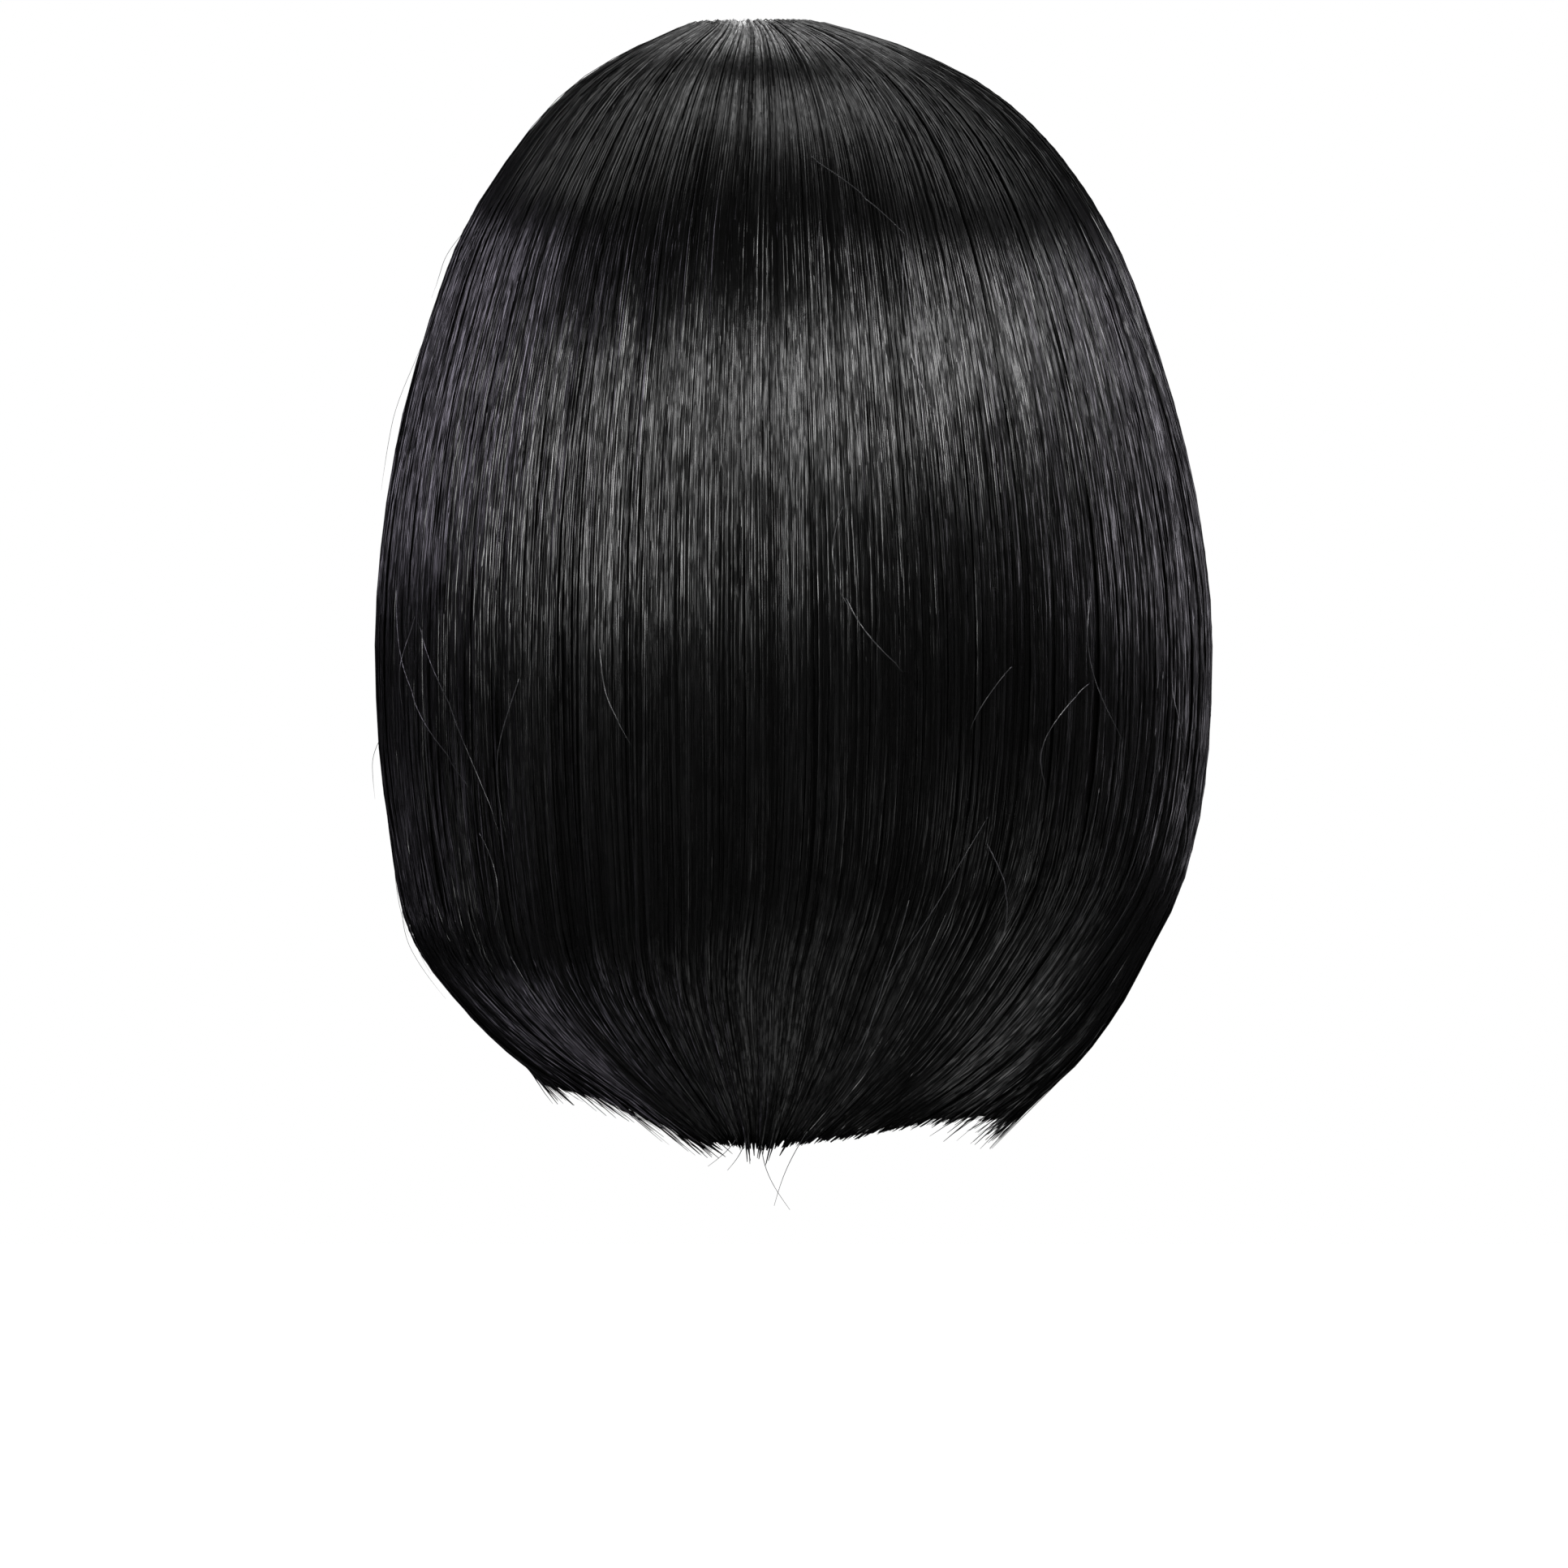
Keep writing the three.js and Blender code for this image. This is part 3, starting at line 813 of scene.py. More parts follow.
class Shell:
    """A closed wall made from a grid: the grid is doubled, and both layers are laid out."""

    shade = 0.15
    weld_within = 0.002 * MM

    @staticmethod
    def build(
        name: str,
        columns: int,
        rows: int,
        lay: Callable[[Array, Array, Array], Array],
        sweep: tuple[float, float],
        weld: bool = False,
    ) -> bpy.types.Object:
        """Builds the wall.

        Args:
            name: the piece's name.
            columns: faces across the grid.
            rows: faces down the grid.
            lay: gives points from arrays of across, down and depth, each from 0 to 1.
            sweep: the azimuth where the grid starts and the degrees that it covers.
            weld: whether the two side edges and a pole close on themselves.

        Returns:
            The new object, linked to the scene, with a Flow map and a shade attribute.
        """
        bm = bmesh.new()
        bmesh.ops.create_grid(bm, x_segments=columns, y_segments=rows, size=0.5)
        bmesh.ops.translate(bm, verts=bm.verts[:], vec=(0.5, 0.5, 0))
        flow = bm.loops.layers.uv.new("Flow")
        for face in bm.faces:
            for loop in face.loops:
                across, down = loop.vert.co.xy
                loop[flow].uv = ((sweep[0] + sweep[1] * across) / 360, down)
        made = bmesh.ops.extrude_face_region(bm, geom=bm.faces[:])
        inner = [item for item in made["geom"] if isinstance(item, bmesh.types.BMVert)]
        bmesh.ops.translate(bm, verts=inner, vec=(0, 0, 1))
        place = np.array([vertex.co[:] for vertex in bm.verts])
        laid = lay(place[:, 0], place[:, 1], place[:, 2])
        for vertex, point in zip(bm.verts, laid):
            vertex.co = point
        if weld:
            bmesh.ops.remove_doubles(bm, verts=bm.verts[:], dist=Shell.weld_within)
        bmesh.ops.recalc_face_normals(bm, faces=bm.faces[:])
        mesh = bpy.data.meshes.new(name)
        bm.to_mesh(mesh)
        bm.free()
        shade = mesh.attributes.new("shade", "FLOAT", "POINT")
        shade.data.foreach_set("value", np.full(len(mesh.vertices), Shell.shade))
        return link_piece(name, mesh)


def link_piece(name: str, mesh: bpy.types.Mesh) -> bpy.types.Object:
    """Puts a mesh into the scene with smooth faces.

    Args:
        name: the piece's name.
        mesh: its mesh.

    Returns:
        The new object.
    """
    mesh.polygons.foreach_set("use_smooth", np.ones(len(mesh.polygons), bool))
    piece = bpy.data.objects.new(name, mesh)
    bpy.context.scene.collection.objects.link(piece)
    return piece


@dataclass(frozen=True)
class Fibres:
    """Paths of many strands, laid out as arrays with one row for each strand."""

    points: Array
    outward: Array
    width: Array
    twist: Array
    shade: Array
    flow: Array
    ridge: ClassVar[float] = 0.26
    sole: ClassVar[float] = 0.12
    half: ClassVar[float] = 0.5

    def build(self, name: str) -> bpy.types.Object:
        """Makes all strands one mesh of three-sided tubes that taper to their tips.

        Args:
            name: the piece's name.

        Returns:
            The new object, with a Flow map and a shade attribute.
        """
        count, steps = self.points.shape[:2]
        along = unit(np.gradient(self.points, axis=1))
        level = unit(np.cross(self.outward, along))
        upright = unit(np.cross(along, level))
        cos, sin = np.cos(self.twist)[..., None], np.sin(self.twist)[..., None]
        out, side = upright * cos + level * sin, level * cos - upright * sin
        width = self.width[..., None]
        corners = [
            self.points + out * width * self.ridge,
            self.points - out * width * self.sole - side * width * self.half,
            self.points - out * width * self.sole + side * width * self.half,
        ]
        verts = np.stack(corners, axis=2).reshape(-1, 3)
        ring = np.arange(count * steps).reshape(count, steps) * 3
        here, below = ring[:, :-1].ravel(), ring[:, 1:].ravel()
        sides = [
            np.stack([here + corner, here + after, below + after, below + corner], axis=1)
            for corner, after in ((0, 1), (1, 2), (2, 0))
        ]
        quads = np.concatenate(sides)
        first, last = ring[:, 0], ring[:, -1]
        caps = np.concatenate(
            [
                np.stack([first + 2, first + 1, first], axis=1),
                np.stack([last, last + 1, last + 2], axis=1),
            ]
        )
        loops = np.concatenate([quads.ravel(), caps.ravel()])
        starts = np.concatenate(
            [np.arange(len(quads)) * 4, len(quads) * 4 + np.arange(len(caps)) * 3]
        )
        mesh = bpy.data.meshes.new(name)
        mesh.vertices.add(len(verts))
        mesh.vertices.foreach_set("co", verts.ravel())
        mesh.loops.add(len(loops))
        mesh.loops.foreach_set("vertex_index", loops.astype(np.int32))
        mesh.polygons.add(len(starts))
        mesh.polygons.foreach_set("loop_start", starts.astype(np.int32))
        mesh.update(calc_edges=True)
        edges = np.empty(len(mesh.edges) * 2, np.int32)
        mesh.edges.foreach_get("vertices", edges)
        first_corner, second_corner = edges.reshape(-1, 2).T % 3
        sharp = (first_corner == second_corner) & (first_corner > 0)
        mesh.attributes.new("sharp_edge", "BOOLEAN", "EDGE").data.foreach_set("value", sharp)
        shades = np.repeat(np.broadcast_to(self.shade, (count, steps)).ravel(), 3)
        mesh.attributes.new("shade", "FLOAT", "POINT").data.foreach_set("value", shades)
        flow = np.repeat(self.flow.reshape(-1, 2), 3, axis=0)
        mesh.uv_layers.new(name="Flow").data.foreach_set("uv", flow[loops].ravel())
        return link_piece(name, mesh)

    @staticmethod
    def single(points: Array, outward: Array, width: Array, azimuth: Array, travel: Array) -> Fibres:
        """Single loose hairs, untwisted, at the highest shade, so that the pale colour paints a sheen on
        them.

        Args:
            points: their paths.
            outward: directions out of the sheet.
            width: width along the paths, the same for all.
            azimuth: azimuth of each point.
            travel: travel of each point.

        Returns:
            The hairs as a set of strands.
        """
        flow = np.stack([azimuth / 360, travel], axis=-1)
        none, full = np.zeros_like(azimuth), np.ones_like(azimuth)
        # A shade of 1 gives these hairs the full pale colour, which paints a sheen on them.
        return Fibres(points, outward, width * full, none, full[:, :1], flow)

    @staticmethod
    def joined(parts: list[Fibres]) -> Fibres:
        """Several sets of strands with as many steps, as one set."""
        names = ("points", "outward", "width", "twist", "shade", "flow")
        shapes = [part.width.shape for part in parts]
        return Fibres(
            **{
                name: np.concatenate(
                    [
                        np.broadcast_to(getattr(part, name), shape + getattr(part, name).shape[2:])
                        for part, shape in zip(parts, shapes)
                    ]
                )
                for name in names
            }
        )


@dataclass(frozen=True)
class Wisp:
    """A place at the hem where tips run on past the rest and part from each other."""

    azimuth: float
    spread: float
    share: float
    reach: float
    sweep: float
    droop: float
    outward: float


@dataclass(frozen=True)
class Flyaway:
    """A single loose hair: its azimuths and drops at both ends, its bow and its lift."""

    azimuths: tuple[float, float]
    drops: tuple[float, float]
    bow: float
    lift: float


@dataclass(frozen=True)
class Stray:
    """A single loose hair that hangs free below the hem, from its azimuth to its end."""

    azimuth: float
    end: tuple[float, float, float]
    bow: float


def column(hairs: Sequence[Flyaway | Stray], name: str) -> Array:
    """One field of several hairs, with a row for each."""
    return np.array([getattr(hair, name) for hair in hairs])


@dataclass(frozen=True)
class StrandLay:
    """How the strands of every panel lie: drifts in degrees, the rest in metres or shares."""

    root_shares: tuple[float, ...] = (0, 0.12, 0.26, 0.4, 0.56, 0.7, 0.85, 1)
    end_spread: float = 0.02
    short_share: float = 0.05
    short_ends: tuple[float, float] = (0.8, 0.97)
    near_tip: Ramp = Ramp(0.86, 0.14)
    strand_drift: Wave = Wave(0.30, 1.0)
    tress_drift: Wave = Wave(0.45, 0.9)
    clump_pull: float = 0.5
    clump_freed: float = 0.3
    tress_pull: float = 0.5
    overhang: float = 0.4
    waves_grow: Ramp = Ramp(0.25, 0.3)
    tress_wave: Wave = Wave(0.35 * MM, 3.0)
    clump_wave: Wave = Wave(0.09 * MM, 6.5)
    clump_sway: Wave = Wave(0.5 * MM, 2.6)
    sway_grows: Ramp = Ramp(0.5, 0.2)
    ripple: Wave = Wave(0.1 * MM, 11.0)
    clump_rise: tuple[float, float] = (-0.3, 0.3)
    strand_rise: tuple[float, float] = (-0.25, 0.3)
    rise_grows: Ramp = Ramp(0, 0.25)
    groove: float = 0.3
    groove_grows: Ramp = Ramp(0.45, 0.25)
    whorl_root: float = 0.02
    root_depths: tuple[float, float] = (0.9 * MM, 0.2 * MM)
    root_length: float = 0.06
    root_width: float = 0.35
    root_widening: float = 9
    tip_tapers: Ramp = Ramp(0.955, 0.045)
    tip_taper: float = 0.7
    width_bias: float = 1.6
    twist: Wave = Wave(0.5, 7.0)
    shade: float = 0.55
    shade_spread: float = 0.25
    clump_shade_spread: float = 0.08
    shade_limits: tuple[float, float] = (0.05, 0.85)
    inner_shade: float = 0.55
    flow_spread: float = 0.03
    tip_grows: Ramp = Ramp(0.88, 0.12)
    tip_bias: float = 1.3
    tip_overrun: float = 1.2 * MM
    wisp_sizes: tuple[float, float] = (0.15, 1.0)
    wisp_bias: float = 1.5
    wisp_fling: tuple[float, float] = (-0.5, 1.0)


@dataclass(frozen=True)
class BackingLay:
    """How the backing of every panel lies below its strands."""

    knot_step: float = 1.5
    ragged: float = 0.005
    sunk: float = 0.5 * MM
    uneven: float = 0.2 * MM
    uneven_grows: Ramp = Ramp(0, 0.3)
    least_wall: float = 0.4 * MM


@dataclass(frozen=True)
class LooseLay:
    """How single loose hairs lie on every panel."""

    edge_margin: float = 2
    drop_shares: tuple[float, float] = (0.1, 0.85)
    slant: float = 5
    lengths: tuple[float, float] = (15, 60)
    bow: float = 2.5
    lifts: tuple[float, float] = (0.8, 3.0)
    root_lift: float = 0.7 * MM
    rises: Ramp = Ramp(0, 0.6)
    width: float = 0.24 * MM
    tapers: Ramp = Ramp(0.7, 0.3)
    taper: float = 0.7
    stray_root: float = 0.97
    stray_width: float = 0.26 * MM
    stray_taper: float = 0.6


@dataclass
class HairPanel:
    """One panel of hair: a dense backing and the strands that lie over it."""

    node: str
    sheet: Sheet
    seed: int
    per_degree: float = 11.5
    steps: int = 28
    columns_per_degree: float = 1.5
    backing_rows: int = 36
    inner_share: float = 0.0
    root_rows: float = 7.0
    backing_end: float = 0.993
    clump_width: float = 0.62
    tress_width: float = 2.6
    widths: tuple[float, float] = (0.4 * MM, 1.0 * MM)
    wisps: tuple[Wisp, ...] = ()
    flyaways: tuple[Flyaway, ...] = ()
    strays: tuple[Stray, ...] = ()
    loose: int = 0
    lay: ClassVar[StrandLay] = StrandLay()
    loose_lay: ClassVar[LooseLay] = LooseLay()
    backing_lay: ClassVar[BackingLay] = BackingLay()

    def span(self) -> float:
        """Degrees that the panel covers."""
        return self.sheet.end - self.sheet.start

    def backing(self) -> bpy.types.Object:
        """The backing, which stops a little short of the strands' tips.

        Returns:
            The new object.
        """
        under = self.backing_lay
        rng = np.random.default_rng(self.seed + 500)
        knots = np.linspace(0, 1, max(6, int(self.span() / under.knot_step)))
        ragged = rng.uniform(-1, 1, len(knots))
        heights = rng.uniform(-1, 1, len(knots))

        def lay(across: Array, down: Array, depth: Array) -> Array:
            """Points of the backing from its grid."""
            azimuth = self.sheet.start + self.span() * across
            end = self.backing_end + under.ragged * np.interp(across, knots, ragged)
            travel = down * end
            out = self.sheet.outward(azimuth, travel)
            grow = under.uneven_grows.at(travel)
            sunk = under.sunk + under.uneven * grow * np.interp(across, knots, heights)
            wall = np.maximum(self.sheet.wall(azimuth, travel) - sunk, under.least_wall)
            inwards = sunk + depth * wall
            return self.sheet.point(azimuth, travel) - out * inwards[:, None]

        columns = int(self.span() * self.columns_per_degree)
        return Shell.build(self.node, columns, self.backing_rows, lay, (self.sheet.start, self.span()))

    def strand_paths(self) -> Fibres:
        """Lays out the strands with their clumps, starts, tips and small waves.

        Returns:
            The strands' paths, with widths, shades and flow.
        """
        lay = self.lay
        rng = np.random.default_rng(self.seed)
        count = int(self.per_degree * self.span())
        start = self.sheet.start + self.span() * (np.arange(count) + rng.uniform(0, 1, count)) / count
        clump, clumps, middle = self.gathered(rng, start, self.clump_width)
        tress, tresses, heart = self.gathered(rng, start, self.tress_width)

        steps = len(lay.root_shares) - 1
        roots = np.interp(rng.uniform(0, 1, count), lay.root_shares, range(steps + 1))
        first = roots / steps * self.root_rows / self.sheet.rows
        last = 1 - rng.uniform(0, 1, count) ** 2 * lay.end_spread
        short = rng.uniform(0, 1, count) < lay.short_share
        last = np.where(short, rng.uniform(*lay.short_ends, count), last)
        share = np.linspace(0, 1, self.steps)[None, :]
        travel = first[:, None] + (last - first)[:, None] * share

        near_tip = lay.near_tip.at(travel)
        each = np.arange(count)
        drift = self.waves(rng, count, lay.strand_drift, travel, each)
        drift += self.waves(rng, tresses, lay.tress_drift, travel, tress)
        pull = lay.clump_pull - lay.clump_freed * near_tip
        azimuth = start[:, None] + (middle[clump] - start)[:, None] * pull + drift
        azimuth += (heart[tress] - start)[:, None] * lay.tress_pull * near_tip
        azimuth = np.clip(azimuth, self.sheet.start - lay.overhang, self.sheet.end + lay.overhang)

        wave = self.waves(rng, tresses, lay.tress_wave, travel, tress)
        wave += self.waves(rng, clumps, lay.clump_wave, travel, clump)
        wave += self.waves(rng, clumps, lay.clump_sway, travel, clump) * lay.sway_grows.at(travel)
        ripple = self.waves(rng, count, lay.ripple, travel, each)
        rise = rng.uniform(*lay.clump_rise, clumps)[clump] + rng.uniform(*lay.strand_rise, count)
        aside = np.minimum(1.0, np.abs(start - heart[tress]) / (self.tress_width / 2))
        groove = lay.groove * aside[:, None] ** 2 * lay.groove_grows.at(travel)
        lift = (rise[:, None] * lay.rise_grows.at(travel) - groove) * MM + wave + ripple
        depths = np.where(first > lay.whorl_root, *lay.root_depths)
        lift = lift - depths[:, None] * np.exp(-share / lay.root_length)

        inner = rng.uniform(0, 1, count) < self.inner_share
        out = self.sheet.outward(azimuth, travel)
        facing = np.where(inner, -1.0, 1.0)[:, None, None]
        depth = np.where(inner[:, None], self.sheet.wall(azimuth, travel), 0.0)
        points = self.sheet.point(azimuth, travel) - out * depth[..., None]
        points = points + out * facing * lift[..., None]
        points = points + self.tips(rng, start, azimuth, travel, out)

        root = np.minimum(1.0, lay.root_width + lay.root_widening * share)
        ends = root * (1 - lay.tip_taper * lay.tip_tapers.at(share))
        low, high = self.widths
        width = (low + (high - low) * rng.uniform(0, 1, count) ** lay.width_bias)[:, None] * ends
        twist = self.waves(rng, count, lay.twist, travel, each)
        shade = lay.shade + lay.shade_spread * rng.normal(0, 1, count)
        shade += lay.clump_shade_spread * rng.normal(0, 1, clumps)[clump]
        shade = np.clip(shade, *lay.shade_limits) * np.where(inner, lay.inner_shade, 1.0)
        place = rng.uniform(0, 1, (clumps, 2))[clump] + rng.uniform(0, lay.flow_spread, (count, 2))
        flow = np.stack([place[:, :1] + 0 * travel, place[:, 1:] + travel], axis=-1)
        return Fibres(points, out * facing, width, twist, shade[:, None], flow)

    @staticmethod
    def gathered(rng: np.random.Generator, start: Array, width: float) -> tuple[Array, int, Array]:
        """Sorts strands into bundles of about one width.

        Args:
            rng: source of the bundles' uneven edges.
            start: azimuth where each strand leaves the whorl.
            width: degrees that a bundle covers.

        Returns:
            The bundle of each strand, how many there are, and the middle of each.
        """
        bundle = np.floor(start / width + rng.normal(0, 0.2, len(start))).astype(int)
        bundle -= bundle.min()
        size = np.bincount(bundle)
        return bundle, len(size), np.bincount(bundle, start) / np.maximum(size, 1)

    def tips(
        self, rng: np.random.Generator, start: Array, azimuth: Array, travel: Array, out: Array
    ) -> Array:
        """How far the tips run on past the hem, where wisps part from it.

        Args:
            rng: source of the tips' lengths.
            start: azimuth where each strand leaves the whorl.
            azimuth: azimuth of each point.
            travel: travel of each point.
            out: direction out of the sheet at each point.

        Returns:
            The shift of each point, in metres.
        """
        lay = self.lay
        ends = np.minimum(travel[:, -1], 1.0)
        near = self.sheet.point(azimuth[:, -2], ends - 0.02)
        onward = unit(self.sheet.point(azimuth[:, -1], ends) - near)[:, None, :]
        ramp = lay.tip_grows.at(travel)[..., None] ** lay.tip_bias
        inward = -unit(self.sheet.across(azimuth, travel)) * np.sign(start)[:, None, None]
        shift = onward * ramp * rng.uniform(0, lay.tip_overrun, len(start))[:, None, None]
        for wisp in self.wisps:
            nearness = np.exp(-(((start - wisp.azimuth) / wisp.spread) ** 2))
            chosen = rng.uniform(0, 1, len(start)) < wisp.share * nearness
            size = chosen * rng.uniform(*lay.wisp_sizes, len(start)) ** lay.wisp_bias
            size = size[:, None, None]
            shift = shift + onward * ramp * size * wisp.reach
            shift = shift + inward * ramp**2 * size * wisp.sweep
            shift = shift + np.array([0.0, 0.0, -1.0]) * ramp**2 * size * wisp.droop
            flung = rng.uniform(*lay.wisp_fling, len(start))[:, None, None]
            shift = shift + out * ramp**2 * size * wisp.outward * flung
        return shift

    def loose_hairs(self) -> Fibres:
        """The single hairs that stand off the panel, some placed and the rest scattered.

        Returns:
            The hairs' paths.
        """
        lay = self.loose_lay
        rng = np.random.default_rng(self.seed + 900)
        hairs = list(self.flyaways)
        for _ in range(self.loose):
            azimuth = rng.uniform(
                self.sheet.start + lay.edge_margin, self.sheet.end - lay.edge_margin
            )
            drop = rng.uniform(*lay.drop_shares) * self.sheet.form.drop
            hairs.append(
                Flyaway(
                    (azimuth, azimuth + rng.normal(0, lay.slant)),
                    (drop, drop + rng.uniform(*lay.lengths) * MM),
                    rng.normal(0, lay.bow),
                    rng.uniform(*lay.lifts) * MM,
                )
            )
        share = np.linspace(0, 1, self.steps)[None, :]
        ends, drops = column(hairs, "azimuths"), column(hairs, "drops")
        bow, height = column(hairs, "bow")[:, None], column(hairs, "lift")[:, None]
        arch = np.sin(math.pi * share)
        azimuth = ends[:, :1] + (ends[:, 1:] - ends[:, :1]) * share + bow * arch
        drop = drops[:, :1] + (drops[:, 1:] - drops[:, :1]) * share
        travel = np.clip(self.sheet.form.row_at(drop) / self.sheet.rows, 0, 1)
        out = self.sheet.outward(azimuth, travel)
        lift = lay.root_lift + height * lay.rises.at(share)
        points = self.sheet.point(azimuth, travel) + out * lift[..., None]
        width = lay.width * (1 - lay.taper * lay.tapers.at(share))
        return Fibres.single(points, out, width, azimuth, travel)

    def stray_hairs(self) -> Fibres:
        """The single hairs that hang free below the hem.

        Returns:
            The hairs' paths.
        """
        lay = self.loose_lay
        share = np.linspace(0, 1, self.steps)[None, :]
        azimuth = column(self.strays, "azimuth")[:, None] + 0 * share
        travel = np.full_like(azimuth, lay.stray_root)
        root = self.sheet.point(azimuth, travel)
        end = column(self.strays, "end")[:, None, :]
        points = root + (end - root) * share[..., None]
        points[..., 0] += column(self.strays, "bow")[:, None] * np.sin(math.pi * share)
        width = lay.stray_width * (1 - lay.stray_taper * share)
        return Fibres.single(points, self.sheet.outward(azimuth, travel), width, azimuth, travel)

    def waves(
        self, rng: np.random.Generator, count: int, wave: Wave, travel: Array, which: Array
    ) -> Array:
        """Shallow waves of one kind, all a little different.

        Args:
            rng: source of the waves' sizes and phases.
            count: how many different waves there are.
            wave: their kind.
            travel: travel of each point.
            which: the wave that each strand follows.

        Returns:
            The wave at each point.
        """
        sizes = rng.uniform(0.3, 1.0, count)[which][:, None] * wave.reach
        phases = rng.uniform(0, 1, count)[which][:, None]
        lengths = rng.uniform(0.7, 1.3, count)[which][:, None] * wave.turns
        return sizes * self.lay.waves_grow.at(travel) * np.sin(2 * math.pi * (travel * lengths + phases))

    def build(self, material: bpy.types.Material) -> list[bpy.types.Object]:
        """Builds and dresses the panel.

        Args:
            material: the hair's material.

        Returns:
            The backing and the strands.
        """
        backing = self.backing()
        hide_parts(self.node)
        paths = [self.strand_paths()]
        if self.loose or self.flyaways:
            paths.append(self.loose_hairs())
        if self.strays:
            paths.append(self.stray_hairs())
        strands = Fibres.joined(paths).build(self.node + "_strands")
        for piece in (backing, strands):
            dress(piece, material)
        return [backing, strands]


def dress(piece: bpy.types.Object, material: bpy.types.Material) -> None:
    """Gives a piece its material and lets it ride on the wig's one body."""
    piece.data.materials.clear()
    piece.data.materials.append(material)
    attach(piece, "root")


@dataclass
class Cap:
    """The cap, its edge band and the tapes sewn inside it."""

    head: HeadForm = field(default_factory=HeadForm)
    wall: float = 1.2 * MM
    band_gap: float = 0.35 * MM
    band_wall: float = 1.2 * MM
    band_width: float = 10 * MM
    columns: int = 144
    rows: int = 40
    rows_crowd: float = 1.6
    band_rows: int = 5
    weft_step: float = 13 * MM
    weft_first: float = 30 * MM
    weft_last: float = 130 * MM
    weft_width: float = 2.6 * MM
    weft_wall: float = 0.7 * MM
    weft_columns: int = 120
    weft_clearance: float = 1.2

    def dome(self) -> bpy.types.Object:
        """The cap itself, from the crown to its rim."""

        def lay(across: Array, down: Array, depth: Array) -> Array:
            """Points of the cap from its grid."""
            azimuth = across * 360
            drop = self.head.rim(azimuth) * down**self.rows_crowd
            return self.head.point(azimuth, drop, self.wall * (1 - depth))

        return Shell.build("cap", self.columns, self.rows, lay, (0, 360), weld=True)

    def band(self) -> bpy.types.Object:
        """The elastic band outside the rim."""

        def lay(across: Array, down: Array, depth: Array) -> Array:
            """Points of the band from its grid."""
            azimuth = across * 360
            drop = self.head.rim(azimuth) - self.band_width * (1 - down)
            lift = self.wall + self.band_gap + self.band_wall * (1 - depth)
            return self.head.point(azimuth, drop, lift)

        return Shell.build("cap_band", self.columns * 2, self.band_rows, lay, (0, 360), weld=True)

    def wefts(self) -> list[bpy.types.Object]:
        """Narrow sewn tapes round the inside of the cap, clear of its rim."""
        made = []
        drops = np.arange(self.weft_first, self.weft_last, self.weft_step)
        for number, drop in enumerate(drops, start=1):
            azimuths = np.linspace(-180, 180, 361)
            room = self.head.rim(azimuths) - self.weft_clearance * self.band_width > drop
            reach = np.abs(azimuths[room]).max()

            def lay(across: Array, down: Array, depth: Array) -> Array:
                """Points of one tape from its grid."""
                azimuth = (across * 2 - 1) * reach
                low = drop + self.weft_width * (down - 0.5)
                return self.head.point(azimuth, low, -self.weft_wall * depth)

            sweep = (-reach, 2 * reach)
            name = f"cap_weft_{number}"
            made.append(Shell.build(name, self.weft_columns, 2, lay, sweep, weld=reach > 179))
        return made

    def build(self) -> list[bpy.types.Object]:
        """Builds and dresses the cap's pieces."""
        net = NetFinish("Cap net", (0.022, 0.022, 0.024), (0.004, 0.004, 0.004)).material()
        elastic = ElasticFinish("Edge elastic").material()
        dome, band, wefts = self.dome(), self.band(), self.wefts()
        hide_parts("cap")
        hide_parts("cap_band")
        dress(dome, net)
        dress(band, elastic)
        for weft in wefts:
            dress(weft, elastic)
        return [dome, band, *wefts]


@dataclass(frozen=True)
class SoftLight:
    """A soft rectangular light that faces the middle of the wig and is itself out of view."""

    name: str
    place: tuple[float, float, float]
    size: tuple[float, float]
    power: float
    colour: Colour = (1.0, 1.0, 1.0)
    target: ClassVar[Vector] = Vector((0, 0, -0.13))

    def hang(self) -> None:
        """Puts the light into the scene."""
        data = bpy.data.lights.new(self.name, "AREA")
        data.color = self.colour
        data.shape = "RECTANGLE"
        data.size, data.size_y = self.size
        data.energy = self.power
        light = bpy.data.objects.new(self.name, data)
        light.location = self.place
        light.visible_camera = False
        aim = self.target - Vector(self.place)
        light.rotation_euler = aim.to_track_quat("-Z", "Y").to_euler()
        bpy.context.scene.collection.objects.link(light)


VIOLET = (0.94, 0.9, 1.0)
DEEP_VIOLET = (0.89, 0.83, 1.0)
LIGHTS = (
    SoftLight("Left softbox", (0.62, 0.82, 0.0), (0.34, 0.54), 8),
    SoftLight("Right softbox", (-0.45, 1.3, 0.3), (0.45, 0.5), 11.5),
    SoftLight("High right", (-1.2, 0.65, 0.65), (0.45, 0.6), 12),
    SoftLight("Left strip", (1.2, -0.25, 0.28), (0.5, 0.7), 6.4, DEEP_VIOLET),
    SoftLight("Right strip", (-1.2, -0.25, 0.2), (0.5, 0.7), 6.5, VIOLET),
    SoftLight("Top", (0.0, -0.1, 1.1), (2.4, 0.5), 10.5),
    SoftLight("Crown rim", (0.0, -0.95, 0.95), (0.7, 0.3), 2),
    SoftLight("Low fill", (0.0, 0.29, -0.415), (0.34, 0.06), 0.05),
    SoftLight("Low left", (0.27, 0.06, -0.415), (0.14, 0.12), 0.11, DEEP_VIOLET),
    SoftLight("Low right", (-0.28, 0.08, -0.415), (0.14, 0.12), 0.09),
    SoftLight("Low far right", (-0.48, 0.34, -0.4), (0.12, 0.12), 0.09),
    SoftLight("Left low strip", (0.95, -0.35, -0.36), (0.35, 0.15), 0.16, DEEP_VIOLET),
    SoftLight("Right low strip", (-0.9, -0.56, -0.26), (0.35, 0.3), 0.7, VIOLET),
    SoftLight("Face side", (0.0, -1.6, 0.5), (1.0, 0.9), 12),
)


